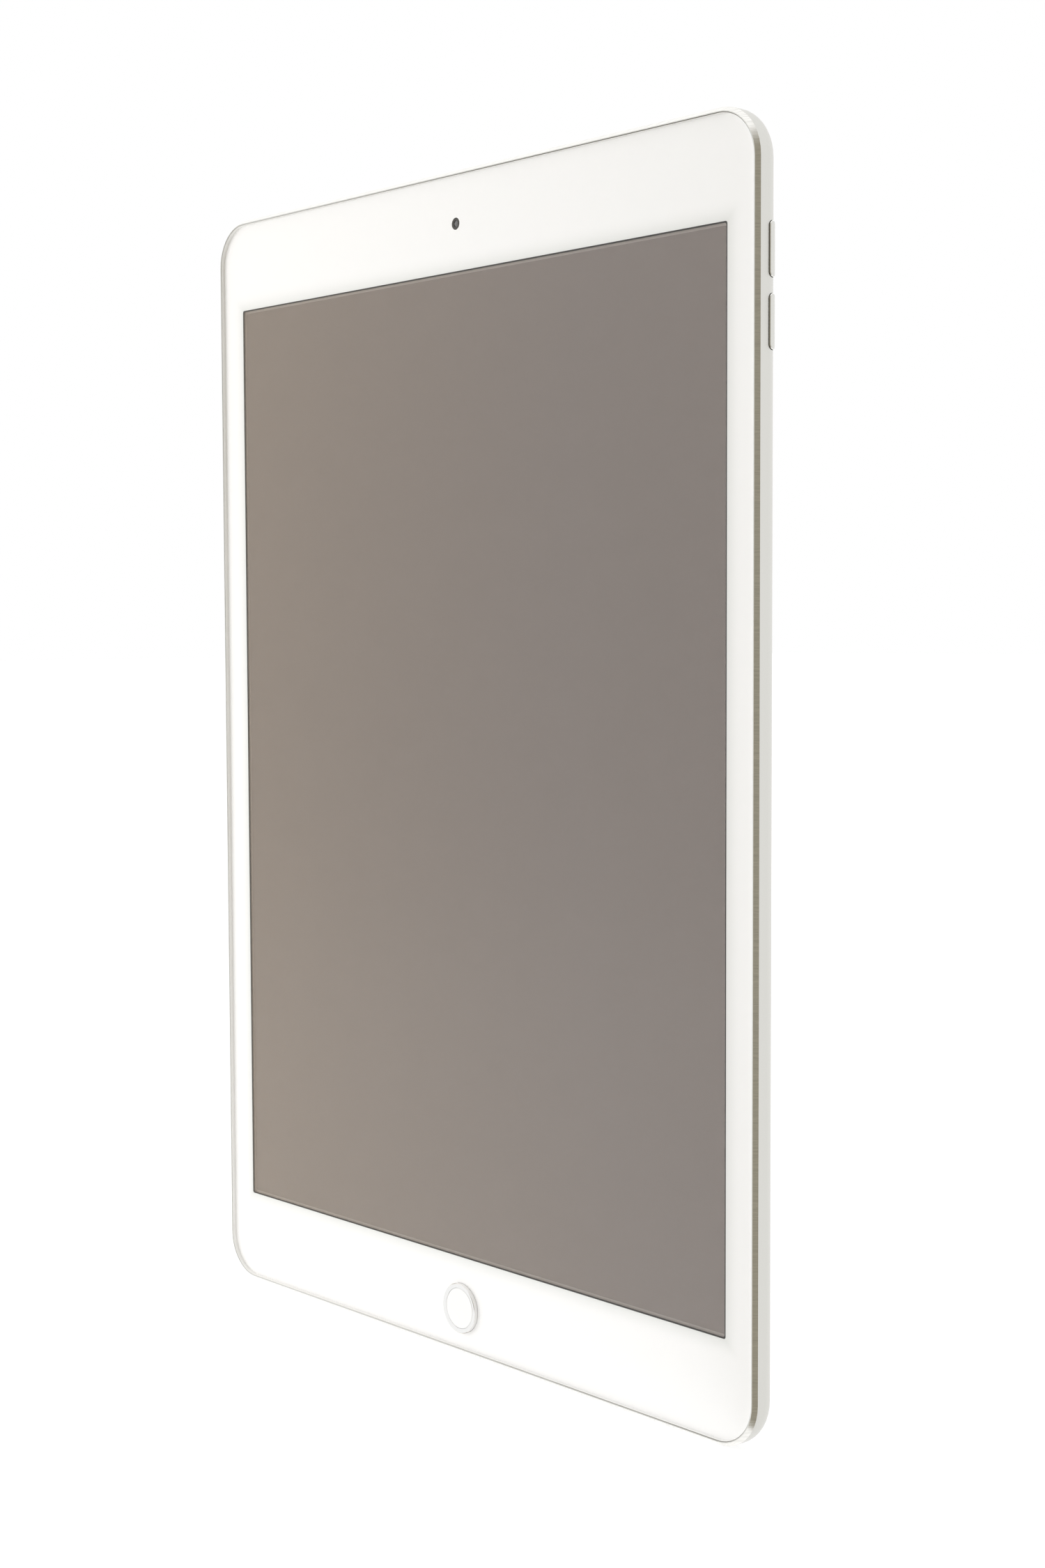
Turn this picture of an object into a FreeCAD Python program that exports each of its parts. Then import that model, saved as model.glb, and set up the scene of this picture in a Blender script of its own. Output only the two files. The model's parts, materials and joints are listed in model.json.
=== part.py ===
import math
import os
import re

import FreeCAD
import Part
import Sketcher
from FreeCAD import Rotation, Vector

# A tablet computer, standing upright: +Z along its height, the screen facing -Y, +X to its right as a
# person looks at the screen.  The origin is the middle of the bottom edge, half-way through the
# thickness.  "Depth" is measured from the front face backwards, "inset" from the tablet's outer edge
# inwards.  All sizes are millimetres.

SIZES = {
    # overall form
    "tablet_width": 174.1,
    "tablet_height": 250.6,
    "tablet_thickness": 7.5,
    "corner_radius": 10.0,
    "rim_bevel": 0.78,
    "side_depth": 3.0,
    "curve_inset": 9.5,
    "edge_arc_radius": 2.8,
    "side_wall": 2.6,
    "back_wall": 0.9,
    "lip_inset": 0.95,
    "ledge_depth": 1.25,
    # layers of the front, by depth
    "glass_inset": 1.08,
    "glass_thickness": 0.95,
    "glass_bevel": 0.12,
    "ink_back": 1.0,
    "backing_back": 1.03,
    "film_back": 1.15,
    "film_inset": 4.5,
    "polarizer_depth": 1.5,
    "panel_depth": 1.6,
    "backlight_depth": 2.3,
    "tray_depth": 3.3,
    "tray_back": 3.5,
    "floor_depth": 6.6,
    # the opening in the printed border and the picture behind it
    "window_width": 157.0,
    "window_height": 209.26,
    "window_radius": 0.5,
    "backing_reveal": 0.3,
    "picture_width": 155.9,
    "picture_height": 207.8,
    "panel_width": 161.0,
    "panel_height": 216.0,
    "gasket_margin": 0.6,
    "fit_gap": 0.005,
    # home button
    "home_height": 9.65,
    "home_ring_radius": 5.3,
    "home_cap_radius": 4.38,
    "home_gap": 0.08,
    # buttons on the edges
    "button_length": 10.1,
    "button_back": 5.1,
    "button_raise": 0.3,
    "button_gap": 0.1,
    "button_rounding": 0.9,
    "button_bevel": 0.1,
    "button_recess": 2.4,
    "volume_up_height": 224.05,
    "volume_down_height": 210.95,
    "power_across": 64.0,
    # cameras
    "front_camera_height": 239.75,
    "front_camera_radius": 1.25,
    "rear_camera_across": 74.2,
    "rear_camera_height": 237.75,
    "rear_camera_radius": 3.4,
    "microphone_across": 62.0,
    "microphone_width": 4.0,
    "microphone_height": 3.0,
    "microphone_thick": 1.1,
    # sockets
    "socket_depth": 4.2,
    "jack_across": -70.0,
    "jack_radius": 1.8,
    "jack_length": 14.0,
    "jack_wall": 4.3,
    "port_width": 8.4,
    "port_opening": 2.6,
    "port_wall": 3.2,
    "port_length": 7.0,
    # speakers
    "speaker_hole_radius": 0.45,
    "speaker_hole_pitch": 1.35,
    "speaker_first_hole": 17.0,
    "speaker_row_depth": 3.25,
    "speaker_row_pitch": 1.25,
    "speaker_width": 50.0,
    "speaker_overhang": 3.0,
    "mesh_margin": 1.0,
    # battery and board
    "battery_width": 114.0,
    "battery_centre": -17.0,
    "battery_cell_height": 82.0,
    "battery_low": 40.0,
    "battery_gap": 4.0,
    "board_width": 31.0,
    "board_height": 170.0,
    "board_centre": 60.0,
    "board_low": 41.0,
    "board_depth": 5.0,
    "board_back": 5.8,
    "boss_radius": 1.6,
    "screw_radius": 0.6,
    "tray_tab_low_across": 72.0,
    "tray_tab_high_across": 50.0,
    "contact_radius": 0.75,
    "contact_pitch": 4.2,
    "contact_depth": 2.15,
    # small allowances and inner pieces
    "cut_margin": 1.0,
    "section_overlap": 0.3,
    "slot_reach": 8.0,
    "recess_margin": 0.6,
    "recess_end": 1.6,
    "recess_reach": 7.0,
    "socket_margin": 0.2,
    "jack_block": 5.6,
    "jack_thick": 4.2,
    "jack_end": 2.8,
    "seat_reach": 8.0,
    "port_rounding": 1.29,
    "port_shell": 0.2,
    "port_end": 0.8,
    "tongue_width": 6.7,
    "tongue_thick": 0.7,
    "tongue_recess": 1.0,
    "port_flex_width": 24.0,
    "port_flex_length": 20.0,
    "port_flex_offset": 0.5,
    "jack_flex_width": 2.0,
    "jack_flex_length": 9.0,
    "tab_reach": 2.0,
    "tab_width": 5.0,
    "boss_root": 0.3,
    "camera_gap": 0.02,
    "microphone_hole": 0.4,
    "camera_pupil": 0.7,
    "home_seal_radius": 7.0,
    "camera_barrel": 1.6,
    "camera_lens": 1.0,
    "camera_rise": 0.45,
    "lens_dome": 0.16,
    "camera_seat": 1.7,
    "front_module": 6.2,
    "front_module_back": 4.8,
    "rear_module": 7.2,
    "rear_module_front": 2.0,
    "rear_module_back": 6.2,
    "rear_barrel": 2.3,
    "rear_barrel_back": 6.9,
    "rear_lens_radius": 2.6,
    "flex_thickness": 0.12,
    "flex_bend_inset": 3.2,
    "touch_flex_low": 150.0,
    "touch_flex_width": 16.0,
    "flex_landing": 2.0,
    "display_flex_width": 18.0,
    "display_flex_height": 24.0,
    "display_flex_middle": 70.0,
    "screw_head_radius": 1.2,
    "screw_head": 0.5,
    "screw_length": 2.4,
    "board_screw_length": 1.4,
    "thread_gap": 0.02,
    "home_recess": 0.22,
    "home_cap_back": 0.92,
    "cap_gap": 0.04,
    "ring_edge": 0.08,
    "ring_front": 0.04,
    "flange_front": 1.25,
    "flange_back": 1.5,
    "home_flange_radius": 6.2,
    "home_sensor_radius": 3.8,
    "sensor_back": 1.32,
    "dome_front": 1.66,
    "dome_radius": 2.0,
    "switch_front": 1.9,
    "switch_radius": 3.5,
    "switch_back": 2.1,
    "bracket_back": 2.4,
    "bracket_width": 28.0,
    "bracket_height": 12.0,
    "bracket_foot": 3.0,
    "home_flex_across": 6.0,
    "home_flex_width": 6.0,
    "home_flex_height": 9.0,
    "home_flex_rise": 1.0,
    "battery_front": 3.7,
    "battery_back": 6.4,
    "glue_margin": 6.0,
    "glue_width": 9.0,
    "glue_pitch": 30.0,
    "battery_board_width": 60.0,
    "battery_board_depth": 4.5,
    "battery_board_thick": 0.8,
    "cell_clearance": 0.4,
    "shield_width": 24.0,
    "shield_height": 48.0,
    "shield_middle": 110.0,
    "shield_front": 3.9,
    "shield_wall": 0.15,
    "antenna_inner": 12.0,
    "antenna_outer": 42.0,
    "antenna_depth": 2.0,
    "antenna_thick": 0.8,
    "antenna_low": 235.0,
    "antenna_height": 10.0,
    "speaker_front": 3.7,
    "speaker_back": 5.5,
    "speaker_low": 5.2,
    "speaker_high": 33.0,
    "mesh_thickness": 0.2,
    "button_play": 0.05,
    "button_flange": 0.5,
    "flange_end": 0.8,
    "nub_rise": 0.1,
    "nub_margin": 0.6,
    "nub_length": 2.0,
    "switch_inset": 3.58,
    "switch_board": 0.3,
    "switch_strip_front": 2.5,
    "switch_strip_back": 5.5,
    "dome_width": 1.8,
    "dome_rise": 0.24,
    "bracket_steel": 0.4,
    "magnet_thick": 1.5,
    "magnet_deep": 2.6,
    "magnet_front": 1.9,
    "magnet_length": 8.0,
    "magnet_low": 40.0,
    "magnet_pitch": 45.0,
    "contact_gap": 0.6,
}
# Each chip on the logic board: the place of its middle across from the board's centre line and up from
# the board's lower end, then its width, height and thickness.
CHIPS = {
    "processor": (0, 120, 15, 15, 0.9),
    "memory": (0, 100, 14, 12, 0.8),
    "storage": (0, 60, 13, 18, 0.9),
    "power_chip": (3, 36, 8, 8, 0.8),
    "radio_chip": (-3, 148, 9, 9, 0.8),
    "audio_chip": (-5, 22, 6, 6, 0.8),
}
SPEAKER_HOLES = 16
GLUE_STRIPS = 4
MAGNETS_PER_SIDE = 4
MID_HEIGHT = "tablet_height / 2"
VOLUME_MIDDLE = "(volume_up_height + volume_down_height) / 2"
VOLUME_HALF_PITCH = "(volume_up_height - volume_down_height) / 2"
VOLUME_LENGTH = "volume_up_height - volume_down_height + button_length + 2 * recess_end"
POWER_LENGTH = "button_length + 2 * recess_end"
QUARTER_TURN = math.pi / 2
TOUCH = 1e-4
BACK = Vector(0, 1, 0)
RIGHT = Vector(1, 0, 0)

doc = FreeCAD.newDocument("tablet")
sheet = doc.addObject("Spreadsheet::Sheet", "Sizes")
for row, (alias, number) in enumerate(SIZES.items(), start=1):
    sheet.set(f"A{row}", alias)
    sheet.set(f"B{row}", str(number))
    sheet.setAlias(f"B{row}", alias)
doc.recompute()


# ---------------------------------------------------------------- sizes from the sheet

def cells(expression):
    """The expression with each size's name pointed at its cell of the sheet."""
    return re.sub(
        r"[a-z_]+",
        lambda word: f"Sizes.{word[0]}" if word[0] in SIZES else word[0],
        expression,
    )


def value(expression):
    """The number an expression stands for now."""
    return float(sheet.evalExpression(cells(expression)))


def bind(thing, path, expression):
    """Ties a property to an expression, so that it follows the sheet."""
    thing.setExpression(path, cells(expression))


# ---------------------------------------------------------------- sketches

def new_body(label):
    body = doc.addObject("PartDesign::Body", label)
    body.Label = label
    return body


def sketch_on(body, plane, offset):
    """A sketch on one of the body's own planes, moved along that plane's normal."""
    sketch = body.newObject("Sketcher::SketchObject", f"{body.Label}_sketch")
    origin_plane = next(item for item in body.Origin.OriginFeatures if item.Role == plane)
    sketch.AttachmentSupport = [(origin_plane, "")]
    sketch.MapMode = "FlatFace"
    bind(sketch, "AttachmentOffset.Base.z", offset)
    return sketch


def sketch_at_depth(body, depth):
    """A sketch parallel to the screen: its x runs across and its y runs up."""
    return sketch_on(body, "XZ_Plane", f"tablet_thickness / 2 - ({depth})")


def dimension(sketch, kind, points, expression):
    """A sketch dimension tied to an expression."""
    number = sketch.addConstraint(Sketcher.Constraint(kind, *points, value(expression)))
    name = f"size{number}"
    sketch.renameConstraint(number, name)
    bind(sketch, f"Constraints.{name}", expression)


def circle(sketch, radius, across, up):
    centre = Vector(value(across), value(up), 0)
    index = sketch.addGeometry(Part.Circle(centre, Vector(0, 0, 1), value(radius)))
    dimension(sketch, "Radius", (index,), radius)
    dimension(sketch, "DistanceX", (index, 3), across)
    dimension(sketch, "DistanceY", (index, 3), up)


def polygon(sketch, corners):
    """Straight lines from corner to corner, each corner placed by its two distances."""
    points = [Vector(value(x), value(y), 0) for x, y in corners]
    count = len(points)
    first = sketch.GeometryCount
    for index in range(count):
        sketch.addGeometry(Part.LineSegment(points[index], points[(index + 1) % count]))
    for index in range(count):
        following = first + (index + 1) % count
        sketch.addConstraint(Sketcher.Constraint("Coincident", first + index, 2, following, 1))
    for index, (x, y) in enumerate(corners):
        dimension(sketch, "DistanceX", (first + index, 1), x)
        dimension(sketch, "DistanceY", (first + index, 1), y)


def rounded_rectangle(sketch, width, height, radius, across="0", up=MID_HEIGHT):
    """Four lines joined by four tangent arcs, going round from the right side's lower end."""
    half_w = value(width) / 2
    half_h = value(height) / 2
    r = value(radius)
    x = value(across)
    y = value(up)
    right, left, top, bottom = x + half_w, x - half_w, y + half_h, y - half_h
    sides = [
        (Vector(right, bottom + r, 0), Vector(right, top - r, 0)),
        (Vector(right - r, top, 0), Vector(left + r, top, 0)),
        (Vector(left, top - r, 0), Vector(left, bottom + r, 0)),
        (Vector(left + r, bottom, 0), Vector(right - r, bottom, 0)),
    ]
    centres = [
        (right - r, top - r),
        (left + r, top - r),
        (left + r, bottom + r),
        (right - r, bottom + r),
    ]
    first = sketch.GeometryCount
    for quarter, ((start, end), centre) in enumerate(zip(sides, centres)):
        corner = Part.Circle(Vector(*centre, 0), Vector(0, 0, 1), r)
        start_angle = quarter * QUARTER_TURN
        sketch.addGeometry(Part.LineSegment(start, end))
        sketch.addGeometry(Part.ArcOfCircle(corner, start_angle, start_angle + QUARTER_TURN))
    for index in range(8):
        following = first + (index + 1) % 8
        sketch.addConstraint(Sketcher.Constraint("Tangent", first + index, 2, following, 1))
    for index, direction in enumerate(("Vertical", "Horizontal", "Vertical", "Horizontal")):
        sketch.addConstraint(Sketcher.Constraint(direction, first + 2 * index))
    for index in (3, 5, 7):
        sketch.addConstraint(Sketcher.Constraint("Equal", first + 1, first + index))
    dimension(sketch, "Radius", (first + 1,), radius)
    dimension(sketch, "DistanceX", (first + 4, 1, first, 2), width)
    dimension(sketch, "DistanceY", (first + 6, 2, first + 2, 1), height)
    dimension(sketch, "DistanceX", (first, 1), f"{across} + ({width}) / 2")
    dimension(sketch, "DistanceY", (first + 2, 1), f"{up} + ({height}) / 2")


# ---------------------------------------------------------------- features

def extrude(kind, body, sketch, length):
    """A Pad or Pocket that reaches half its length to each side of its sketch."""
    feature = body.newObject(f"PartDesign::{kind}", f"{body.Label}_{kind.lower()}")
    feature.Profile = sketch
    feature.SideType = "Symmetric"
    bind(feature, "Length", length)
    return feature


def pad(body, sketch, length):
    return extrude("Pad", body, sketch, length)


def pocket(body, sketch, length):
    """A cut, with a test that it really takes material away."""
    doc.recompute()
    before = body.Shape.Volume
    feature = extrude("Pocket", body, sketch, length)
    doc.recompute()
    if body.Shape.Volume >= before:
        raise RuntimeError(f"{feature.Label} cuts nothing")
    return feature


def dress_up(kind, body, feature, edge_test, property_name, size):
    """A Fillet or Chamfer on the edges of a feature's solid that pass a test."""
    doc.recompute()
    edges = [
        f"Edge{number}"
        for number, edge in enumerate(feature.Shape.Edges, start=1)
        if edge_test(edge.BoundBox)
    ]
    dressed = body.newObject(f"PartDesign::{kind}", f"{body.Label}_{kind.lower()}")
    dressed.Base = (feature, edges)
    bind(dressed, property_name, size)
    body.Tip = dressed
    return dressed


def lies_in_front(box):
    """Whether an edge lies in the tablet's front plane."""
    return abs(box.YMin - value("-tablet_thickness / 2")) < TOUCH and box.YLength < TOUCH


def runs_outwards(box):
    """Whether an edge of a button runs straight in or out."""
    is_long = box.XLength > value("button_rounding")
    return is_long and box.YLength < TOUCH and box.ZLength < TOUCH


def lies_outside(box):
    """Whether an edge of a button runs round its outer face."""
    return box.XMin > value("-edge_arc_radius / 2")


def plate(label, width, height, radius, front, back, across="0", up=MID_HEIGHT):
    """A flat piece parallel to the screen, with rounded corners, between two depths."""
    body = new_body(label)
    sketch = sketch_at_depth(body, f"({front} + {back}) / 2")
    rounded_rectangle(sketch, width, height, radius, across, up)
    pad(body, sketch, f"{back} - ({front})")
    return body


def round_cut(body, radius, across, up, front, back):
    """A round hole from front to back between two depths."""
    sketch = sketch_at_depth(body, f"({front} + {back}) / 2")
    circle(sketch, radius, across, up)
    pocket(body, sketch, f"{back} - ({front})")


def window_cut(body, width, height, radius, front, back, across="0", up=MID_HEIGHT):
    """A rounded rectangular opening from front to back between two depths."""
    sketch = sketch_at_depth(body, f"({front} + {back}) / 2")
    rounded_rectangle(sketch, width, height, radius, across, up)
    pocket(body, sketch, f"{back} - ({front})")


def turned(label, profile, across, up):
    """A round piece whose axis runs from front to back; its profile lists radius and depth."""
    body = new_body(label)
    sketch = sketch_on(body, "XY_Plane", "0")
    polygon(sketch, profile)
    spin = body.newObject("PartDesign::Revolution", f"{label}_revolution")
    spin.Profile = sketch
    axis = next(item for item in body.Origin.OriginFeatures if item.Role == "Y_Axis")
    spin.ReferenceAxis = (axis, [""])
    spin.Angle = 360
    bind(body, "Placement.Base.x", across)
    bind(body, "Placement.Base.y", "-tablet_thickness / 2")
    bind(body, "Placement.Base.z", up)
    return body


def strip(label, corners, low, high):
    """A bent strip: its outline, seen from above, is drawn up from one height to another."""
    body = new_body(label)
    sketch = sketch_on(body, "XY_Plane", f"({low} + {high}) / 2")
    polygon(sketch, [(across, f"{depth} - tablet_thickness / 2") for across, depth in corners])
    pad(body, sketch, f"{high} - ({low})")
    return body


def block(label, across, depth, up):
    """A plain box between two places across, two depths and two heights."""
    box = doc.addObject("Part::Box", label)
    box.Label = label
    bind(box, "Length", f"{across[1]} - ({across[0]})")
    bind(box, "Width", f"{depth[1]} - ({depth[0]})")
    bind(box, "Height", f"{up[1]} - ({up[0]})")
    bind(box, "Placement.Base.x", across[0])
    bind(box, "Placement.Base.y", f"{depth[0]} - tablet_thickness / 2")
    bind(box, "Placement.Base.z", up[0])
    return box


def pin(label, radius, length, start, direction):
    """A cylinder from a start point along a direction."""
    cylinder = doc.addObject("Part::Cylinder", label)
    cylinder.Placement.Rotation = Rotation(Vector(0, 0, 1), direction)
    bind(cylinder, "Radius", radius)
    bind(cylinder, "Height", length)
    for axis, place in zip("xyz", start):
        bind(cylinder, f"Placement.Base.{axis}", place)
    return cylinder


def group(label, pieces):
    """Several identical or related loose pieces that share one node."""
    compound = doc.addObject("Part::Compound", label)
    compound.Label = label
    compound.Links = pieces
    return compound


def on_side(side, inner, outer):
    """Two places across, given as distances from the middle, in order from left to right."""
    if side < 0:
        return f"-({outer})", f"-({inner})"
    return inner, outer


# ---------------------------------------------------------------- rear housing

def wall_section(sketch):
    """The rim, side and back curve in section, at the tablet's right-hand edge.

    The outside runs from a bevelled rim down a straight side into a small arc, then a large arc that
    meets the flat back.  The inside has a lip and a ledge for the glass, and follows the large arc.
    """
    edge = value("tablet_width / 2")
    front = value("-tablet_thickness / 2")
    small = value("edge_arc_radius")
    reach = value("curve_inset - edge_arc_radius")
    fall = value("tablet_thickness - side_depth")
    large = (reach ** 2 + fall ** 2 - small ** 2) / (2 * (fall - small))
    inner = large - value("back_wall")
    inner_run = value("curve_inset - side_wall")
    small_centre = Vector(edge - small, front + value("side_depth"), 0)
    large_centre = Vector(edge - value("curve_inset"), front + value("tablet_thickness") - large, 0)
    join_angle = math.atan2(small_centre.y - large_centre.y, small_centre.x - large_centre.x)
    inner_angle = math.acos(inner_run / inner)

    def spot(inset, depth):
        return Vector(edge - value(inset), front + value(depth), 0)

    def arc(centre, radius, start, end):
        return Part.ArcOfCircle(Part.Circle(centre, Vector(0, 0, 1), radius), start, end)

    rim = spot("rim_bevel", "0")
    shoulder = spot("0", "rim_bevel")
    side_end = spot("0", "side_depth")
    back_start = spot("curve_inset", "tablet_thickness")
    back_end = spot("curve_inset + section_overlap", "tablet_thickness")
    floor_end = spot("curve_inset + section_overlap", "floor_depth")
    floor_start = spot("curve_inset", "floor_depth")
    wall_end = large_centre + Vector(inner_run, inner * math.sin(inner_angle), 0)
    wall_start = spot("side_wall", "ledge_depth")
    lip_foot = spot("lip_inset", "ledge_depth")
    lip_top = spot("lip_inset", "0")
    shapes = [
        Part.LineSegment(rim, shoulder),
        Part.LineSegment(shoulder, side_end),
        arc(small_centre, small, 0, join_angle),
        arc(large_centre, large, join_angle, QUARTER_TURN),
        Part.LineSegment(back_start, back_end),
        Part.LineSegment(back_end, floor_end),
        Part.LineSegment(floor_end, floor_start),
        arc(large_centre, inner, inner_angle, QUARTER_TURN),
        Part.LineSegment(wall_end, wall_start),
        Part.LineSegment(wall_start, lip_foot),
        Part.LineSegment(lip_foot, lip_top),
        Part.LineSegment(lip_top, rim),
    ]
    for shape in shapes:
        sketch.addGeometry(shape)
    bevel, side, small_arc, large_arc, back, back_edge = range(6)
    floor, inner_arc, wall, ledge, lip, top = range(6, 12)
    joints = [
        ("Coincident", bevel, 2, side, 1),
        ("Tangent", side, 2, small_arc, 1),
        ("Tangent", small_arc, 2, large_arc, 1),
        ("Tangent", large_arc, 2, back, 1),
        ("Coincident", back, 2, back_edge, 1),
        ("Coincident", back_edge, 2, floor, 1),
        ("Coincident", floor, 2, inner_arc, 2),
        ("Coincident", inner_arc, 1, wall, 1),
        ("Coincident", wall, 2, ledge, 1),
        ("Coincident", ledge, 2, lip, 1),
        ("Coincident", lip, 2, top, 1),
        ("Coincident", top, 2, bevel, 1),
        ("Coincident", large_arc, 3, inner_arc, 3),
        ("Vertical", side),
        ("Vertical", back_edge),
        ("Vertical", wall),
        ("Vertical", lip),
        ("Horizontal", back),
        ("Horizontal", floor),
        ("Horizontal", ledge),
        ("Horizontal", top),
    ]
    for joint in joints:
        sketch.addConstraint(Sketcher.Constraint(*joint))
    dimension(sketch, "Radius", (small_arc,), "edge_arc_radius")
    across = {
        (bevel, 1): "rim_bevel",
        (side, 1): "0",
        (back, 1): "curve_inset",
        (back_edge, 1): "curve_inset + section_overlap",
        (inner_arc, 2): "curve_inset",
        (wall, 1): "side_wall",
        (lip, 1): "lip_inset",
    }
    for point, inset in across.items():
        dimension(sketch, "DistanceX", point, f"tablet_width / 2 - ({inset})")
    deep = {
        (bevel, 1): "0",
        (side, 1): "rim_bevel",
        (side, 2): "side_depth",
        (back, 1): "tablet_thickness",
        (floor, 1): "floor_depth",
        (ledge, 1): "ledge_depth",
    }
    for point, depth in deep.items():
        dimension(sketch, "DistanceY", point, f"{depth} - tablet_thickness / 2")


def box_cut(body, across, depth, up):
    """A square-cornered cut between two places across, two depths and two heights."""
    front = f"{depth[0]} - tablet_thickness / 2"
    back = f"{depth[1]} - tablet_thickness / 2"
    sketch = sketch_on(body, "XY_Plane", f"({up[0]} + {up[1]}) / 2")
    left, right = across
    polygon(sketch, [(left, front), (right, front), (right, back), (left, back)])
    pocket(body, sketch, f"{up[1]} - ({up[0]})")


def button_slots(body):
    """Three rounded slots through the wall, and the recesses behind them for the switches."""
    thick = "button_back - side_depth + 2 * button_gap"
    long = "button_length + 2 * button_gap"
    radius = "button_rounding + button_gap"
    middle = "(side_depth + button_back - tablet_thickness) / 2"
    for height in ("volume_up_height", "volume_down_height"):
        sketch = sketch_on(body, "YZ_Plane", "tablet_width / 2 - side_wall")
        rounded_rectangle(sketch, thick, long, radius, middle, height)
        pocket(body, sketch, "slot_reach")
    sketch = sketch_on(body, "XY_Plane", "tablet_height - side_wall")
    rounded_rectangle(sketch, long, thick, radius, "power_across", middle)
    pocket(body, sketch, "slot_reach")

    depth = ("side_depth - recess_margin", "button_back + recess_margin")
    low = "volume_down_height - button_length / 2 - recess_end"
    high = "volume_up_height + button_length / 2 + recess_end"
    inner = "tablet_width / 2 - recess_reach"
    box_cut(body, (inner, "tablet_width / 2 - button_recess"), depth, (low, high))
    left = "power_across - button_length / 2 - recess_end"
    right = "power_across + button_length / 2 + recess_end"
    inner = "tablet_height - recess_reach"
    box_cut(body, (left, right), depth, (inner, "tablet_height - button_recess"))


def socket_openings(body):
    """The round headphone hole in the top edge, the port slot in the bottom edge, and their seats."""
    middle = "socket_depth - tablet_thickness / 2"
    sketch = sketch_on(body, "XY_Plane", "tablet_height")
    circle(sketch, "jack_radius", "jack_across", middle)
    pocket(body, sketch, "2 * (jack_wall + socket_margin)")
    half_block = "(jack_block / 2 + socket_margin)"
    box_cut(
        body,
        (f"jack_across - {half_block}", f"jack_across + {half_block}"),
        ("socket_depth - jack_thick / 2", "socket_depth + jack_thick / 2 + socket_margin"),
        ("tablet_height - jack_wall - seat_reach", "tablet_height - jack_wall"),
    )
    sketch = sketch_on(body, "XY_Plane", "0")
    rounded_rectangle(sketch, "port_width", "port_opening", "port_rounding", "0", middle)
    pocket(body, sketch, "2 * (port_wall + socket_margin)")
    half_width = "(port_width / 2 + port_shell + socket_margin)"
    half_opening = "port_opening / 2 + port_shell"
    box_cut(
        body,
        (f"-{half_width}", half_width),
        (f"socket_depth - ({half_opening})", f"socket_depth + {half_opening} + socket_margin"),
        ("port_wall", "port_wall + seat_reach"),
    )


def speaker_grille(body, side):
    """Two rows of round holes through the bottom edge, stepping outwards from the middle."""
    sketch = sketch_on(body, "XY_Plane", "0")
    for row in range(2):
        depth = f"speaker_row_depth + {row} * speaker_row_pitch - tablet_thickness / 2"
        circle(sketch, "speaker_hole_radius", f"{side} * speaker_first_hole", depth)
    holes = pocket(body, sketch, "2 * (side_wall + socket_margin + speaker_row_pitch)")
    rows = body.newObject("PartDesign::LinearPattern", "speaker_grille")
    rows.Originals = [holes]
    rows.Direction = (sketch, ["H_Axis"])
    rows.Reversed = side < 0
    rows.Occurrences = SPEAKER_HOLES
    bind(rows, "Length", f"{SPEAKER_HOLES - 1} * speaker_hole_pitch")
    body.Tip = rows


def contact_height(step):
    """The height of the middle contact at step 0, or of its neighbour below or above."""
    return f"tablet_height / 2 + {step} * contact_pitch"


def board_boss_places():
    """Where the logic board is screwed down: three heights on each of its long sides."""
    half_width = "(board_width / 2 - boss_radius)"
    half_height = "(board_height / 2 - boss_radius)"
    across = (f"board_centre - {half_width}", f"board_centre + {half_width}")
    up = [f"board_low + boss_radius + {step} * {half_height}" for step in range(3)]
    return [(x, z) for x in across for z in up]


def tray_tab_places():
    """Where the display's tray is screwed to the housing: two tabs below it and two above."""
    low = "(tablet_height - panel_height) / 2 - tab_reach"
    high = "(tablet_height + panel_height) / 2 + tab_reach"
    below = [(f"{side} * tray_tab_low_across", low) for side in (-1, 1)]
    above = [(f"{side} * tray_tab_high_across", high) for side in (-1, 1)]
    return below + above


def bosses(body, places, top):
    """Round posts on the floor of the housing, each with a blind screw hole."""
    sketch = sketch_at_depth(body, f"({top} + floor_depth + boss_root) / 2")
    for across, up in places:
        circle(sketch, "boss_radius", across, up)
    posts = pad(body, sketch, f"floor_depth + boss_root - ({top})")
    body.Tip = posts
    holes = sketch_at_depth(body, top)
    for across, up in places:
        circle(holes, "screw_radius", across, up)
    pocket(body, holes, f"2 * (floor_depth - ({top}))")


def rear_housing():
    """The metal tray: a wall swept round the outline, a flat back, and every hole and post in it."""
    body = new_body("rear_housing")
    path = sketch_at_depth(body, "0")
    rounded_rectangle(path, "tablet_width", "tablet_height", "corner_radius")
    section = sketch_on(body, "XY_Plane", "corner_radius")
    wall_section(section)
    wall = body.newObject("PartDesign::AdditivePipe", "housing_wall")
    wall.Profile = section
    wall.Spine = path
    doc.recompute()
    right = "tablet_width / 2 - curve_inset"
    left = f"-({right})"
    low = "curve_inset"
    high = "tablet_height - curve_inset"
    back = sketch_at_depth(body, "(floor_depth + tablet_thickness) / 2")
    polygon(back, [(left, low), (right, low), (right, high), (left, high)])
    pad(body, back, "tablet_thickness - floor_depth")
    bosses(body, board_boss_places(), "board_back")
    bosses(body, tray_tab_places(), "tray_back")
    button_slots(body)
    socket_openings(body)
    for side in (-1, 1):
        speaker_grille(body, side)
    through = ("floor_depth - cut_margin", "tablet_thickness + cut_margin")
    camera_hole = "rear_camera_radius + camera_gap"
    round_cut(body, camera_hole, "rear_camera_across", "rear_camera_height", *through)
    round_cut(body, "microphone_hole", "microphone_across", "rear_camera_height", *through)
    sketch = sketch_on(body, "YZ_Plane", "-tablet_width / 2")
    for step in (-1, 0, 1):
        circle(sketch, "contact_radius", "contact_depth - tablet_thickness / 2", contact_height(step))
    pocket(body, sketch, "2 * (side_wall + cut_margin)")
    return body


# ---------------------------------------------------------------- cover glass and printed layers

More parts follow.
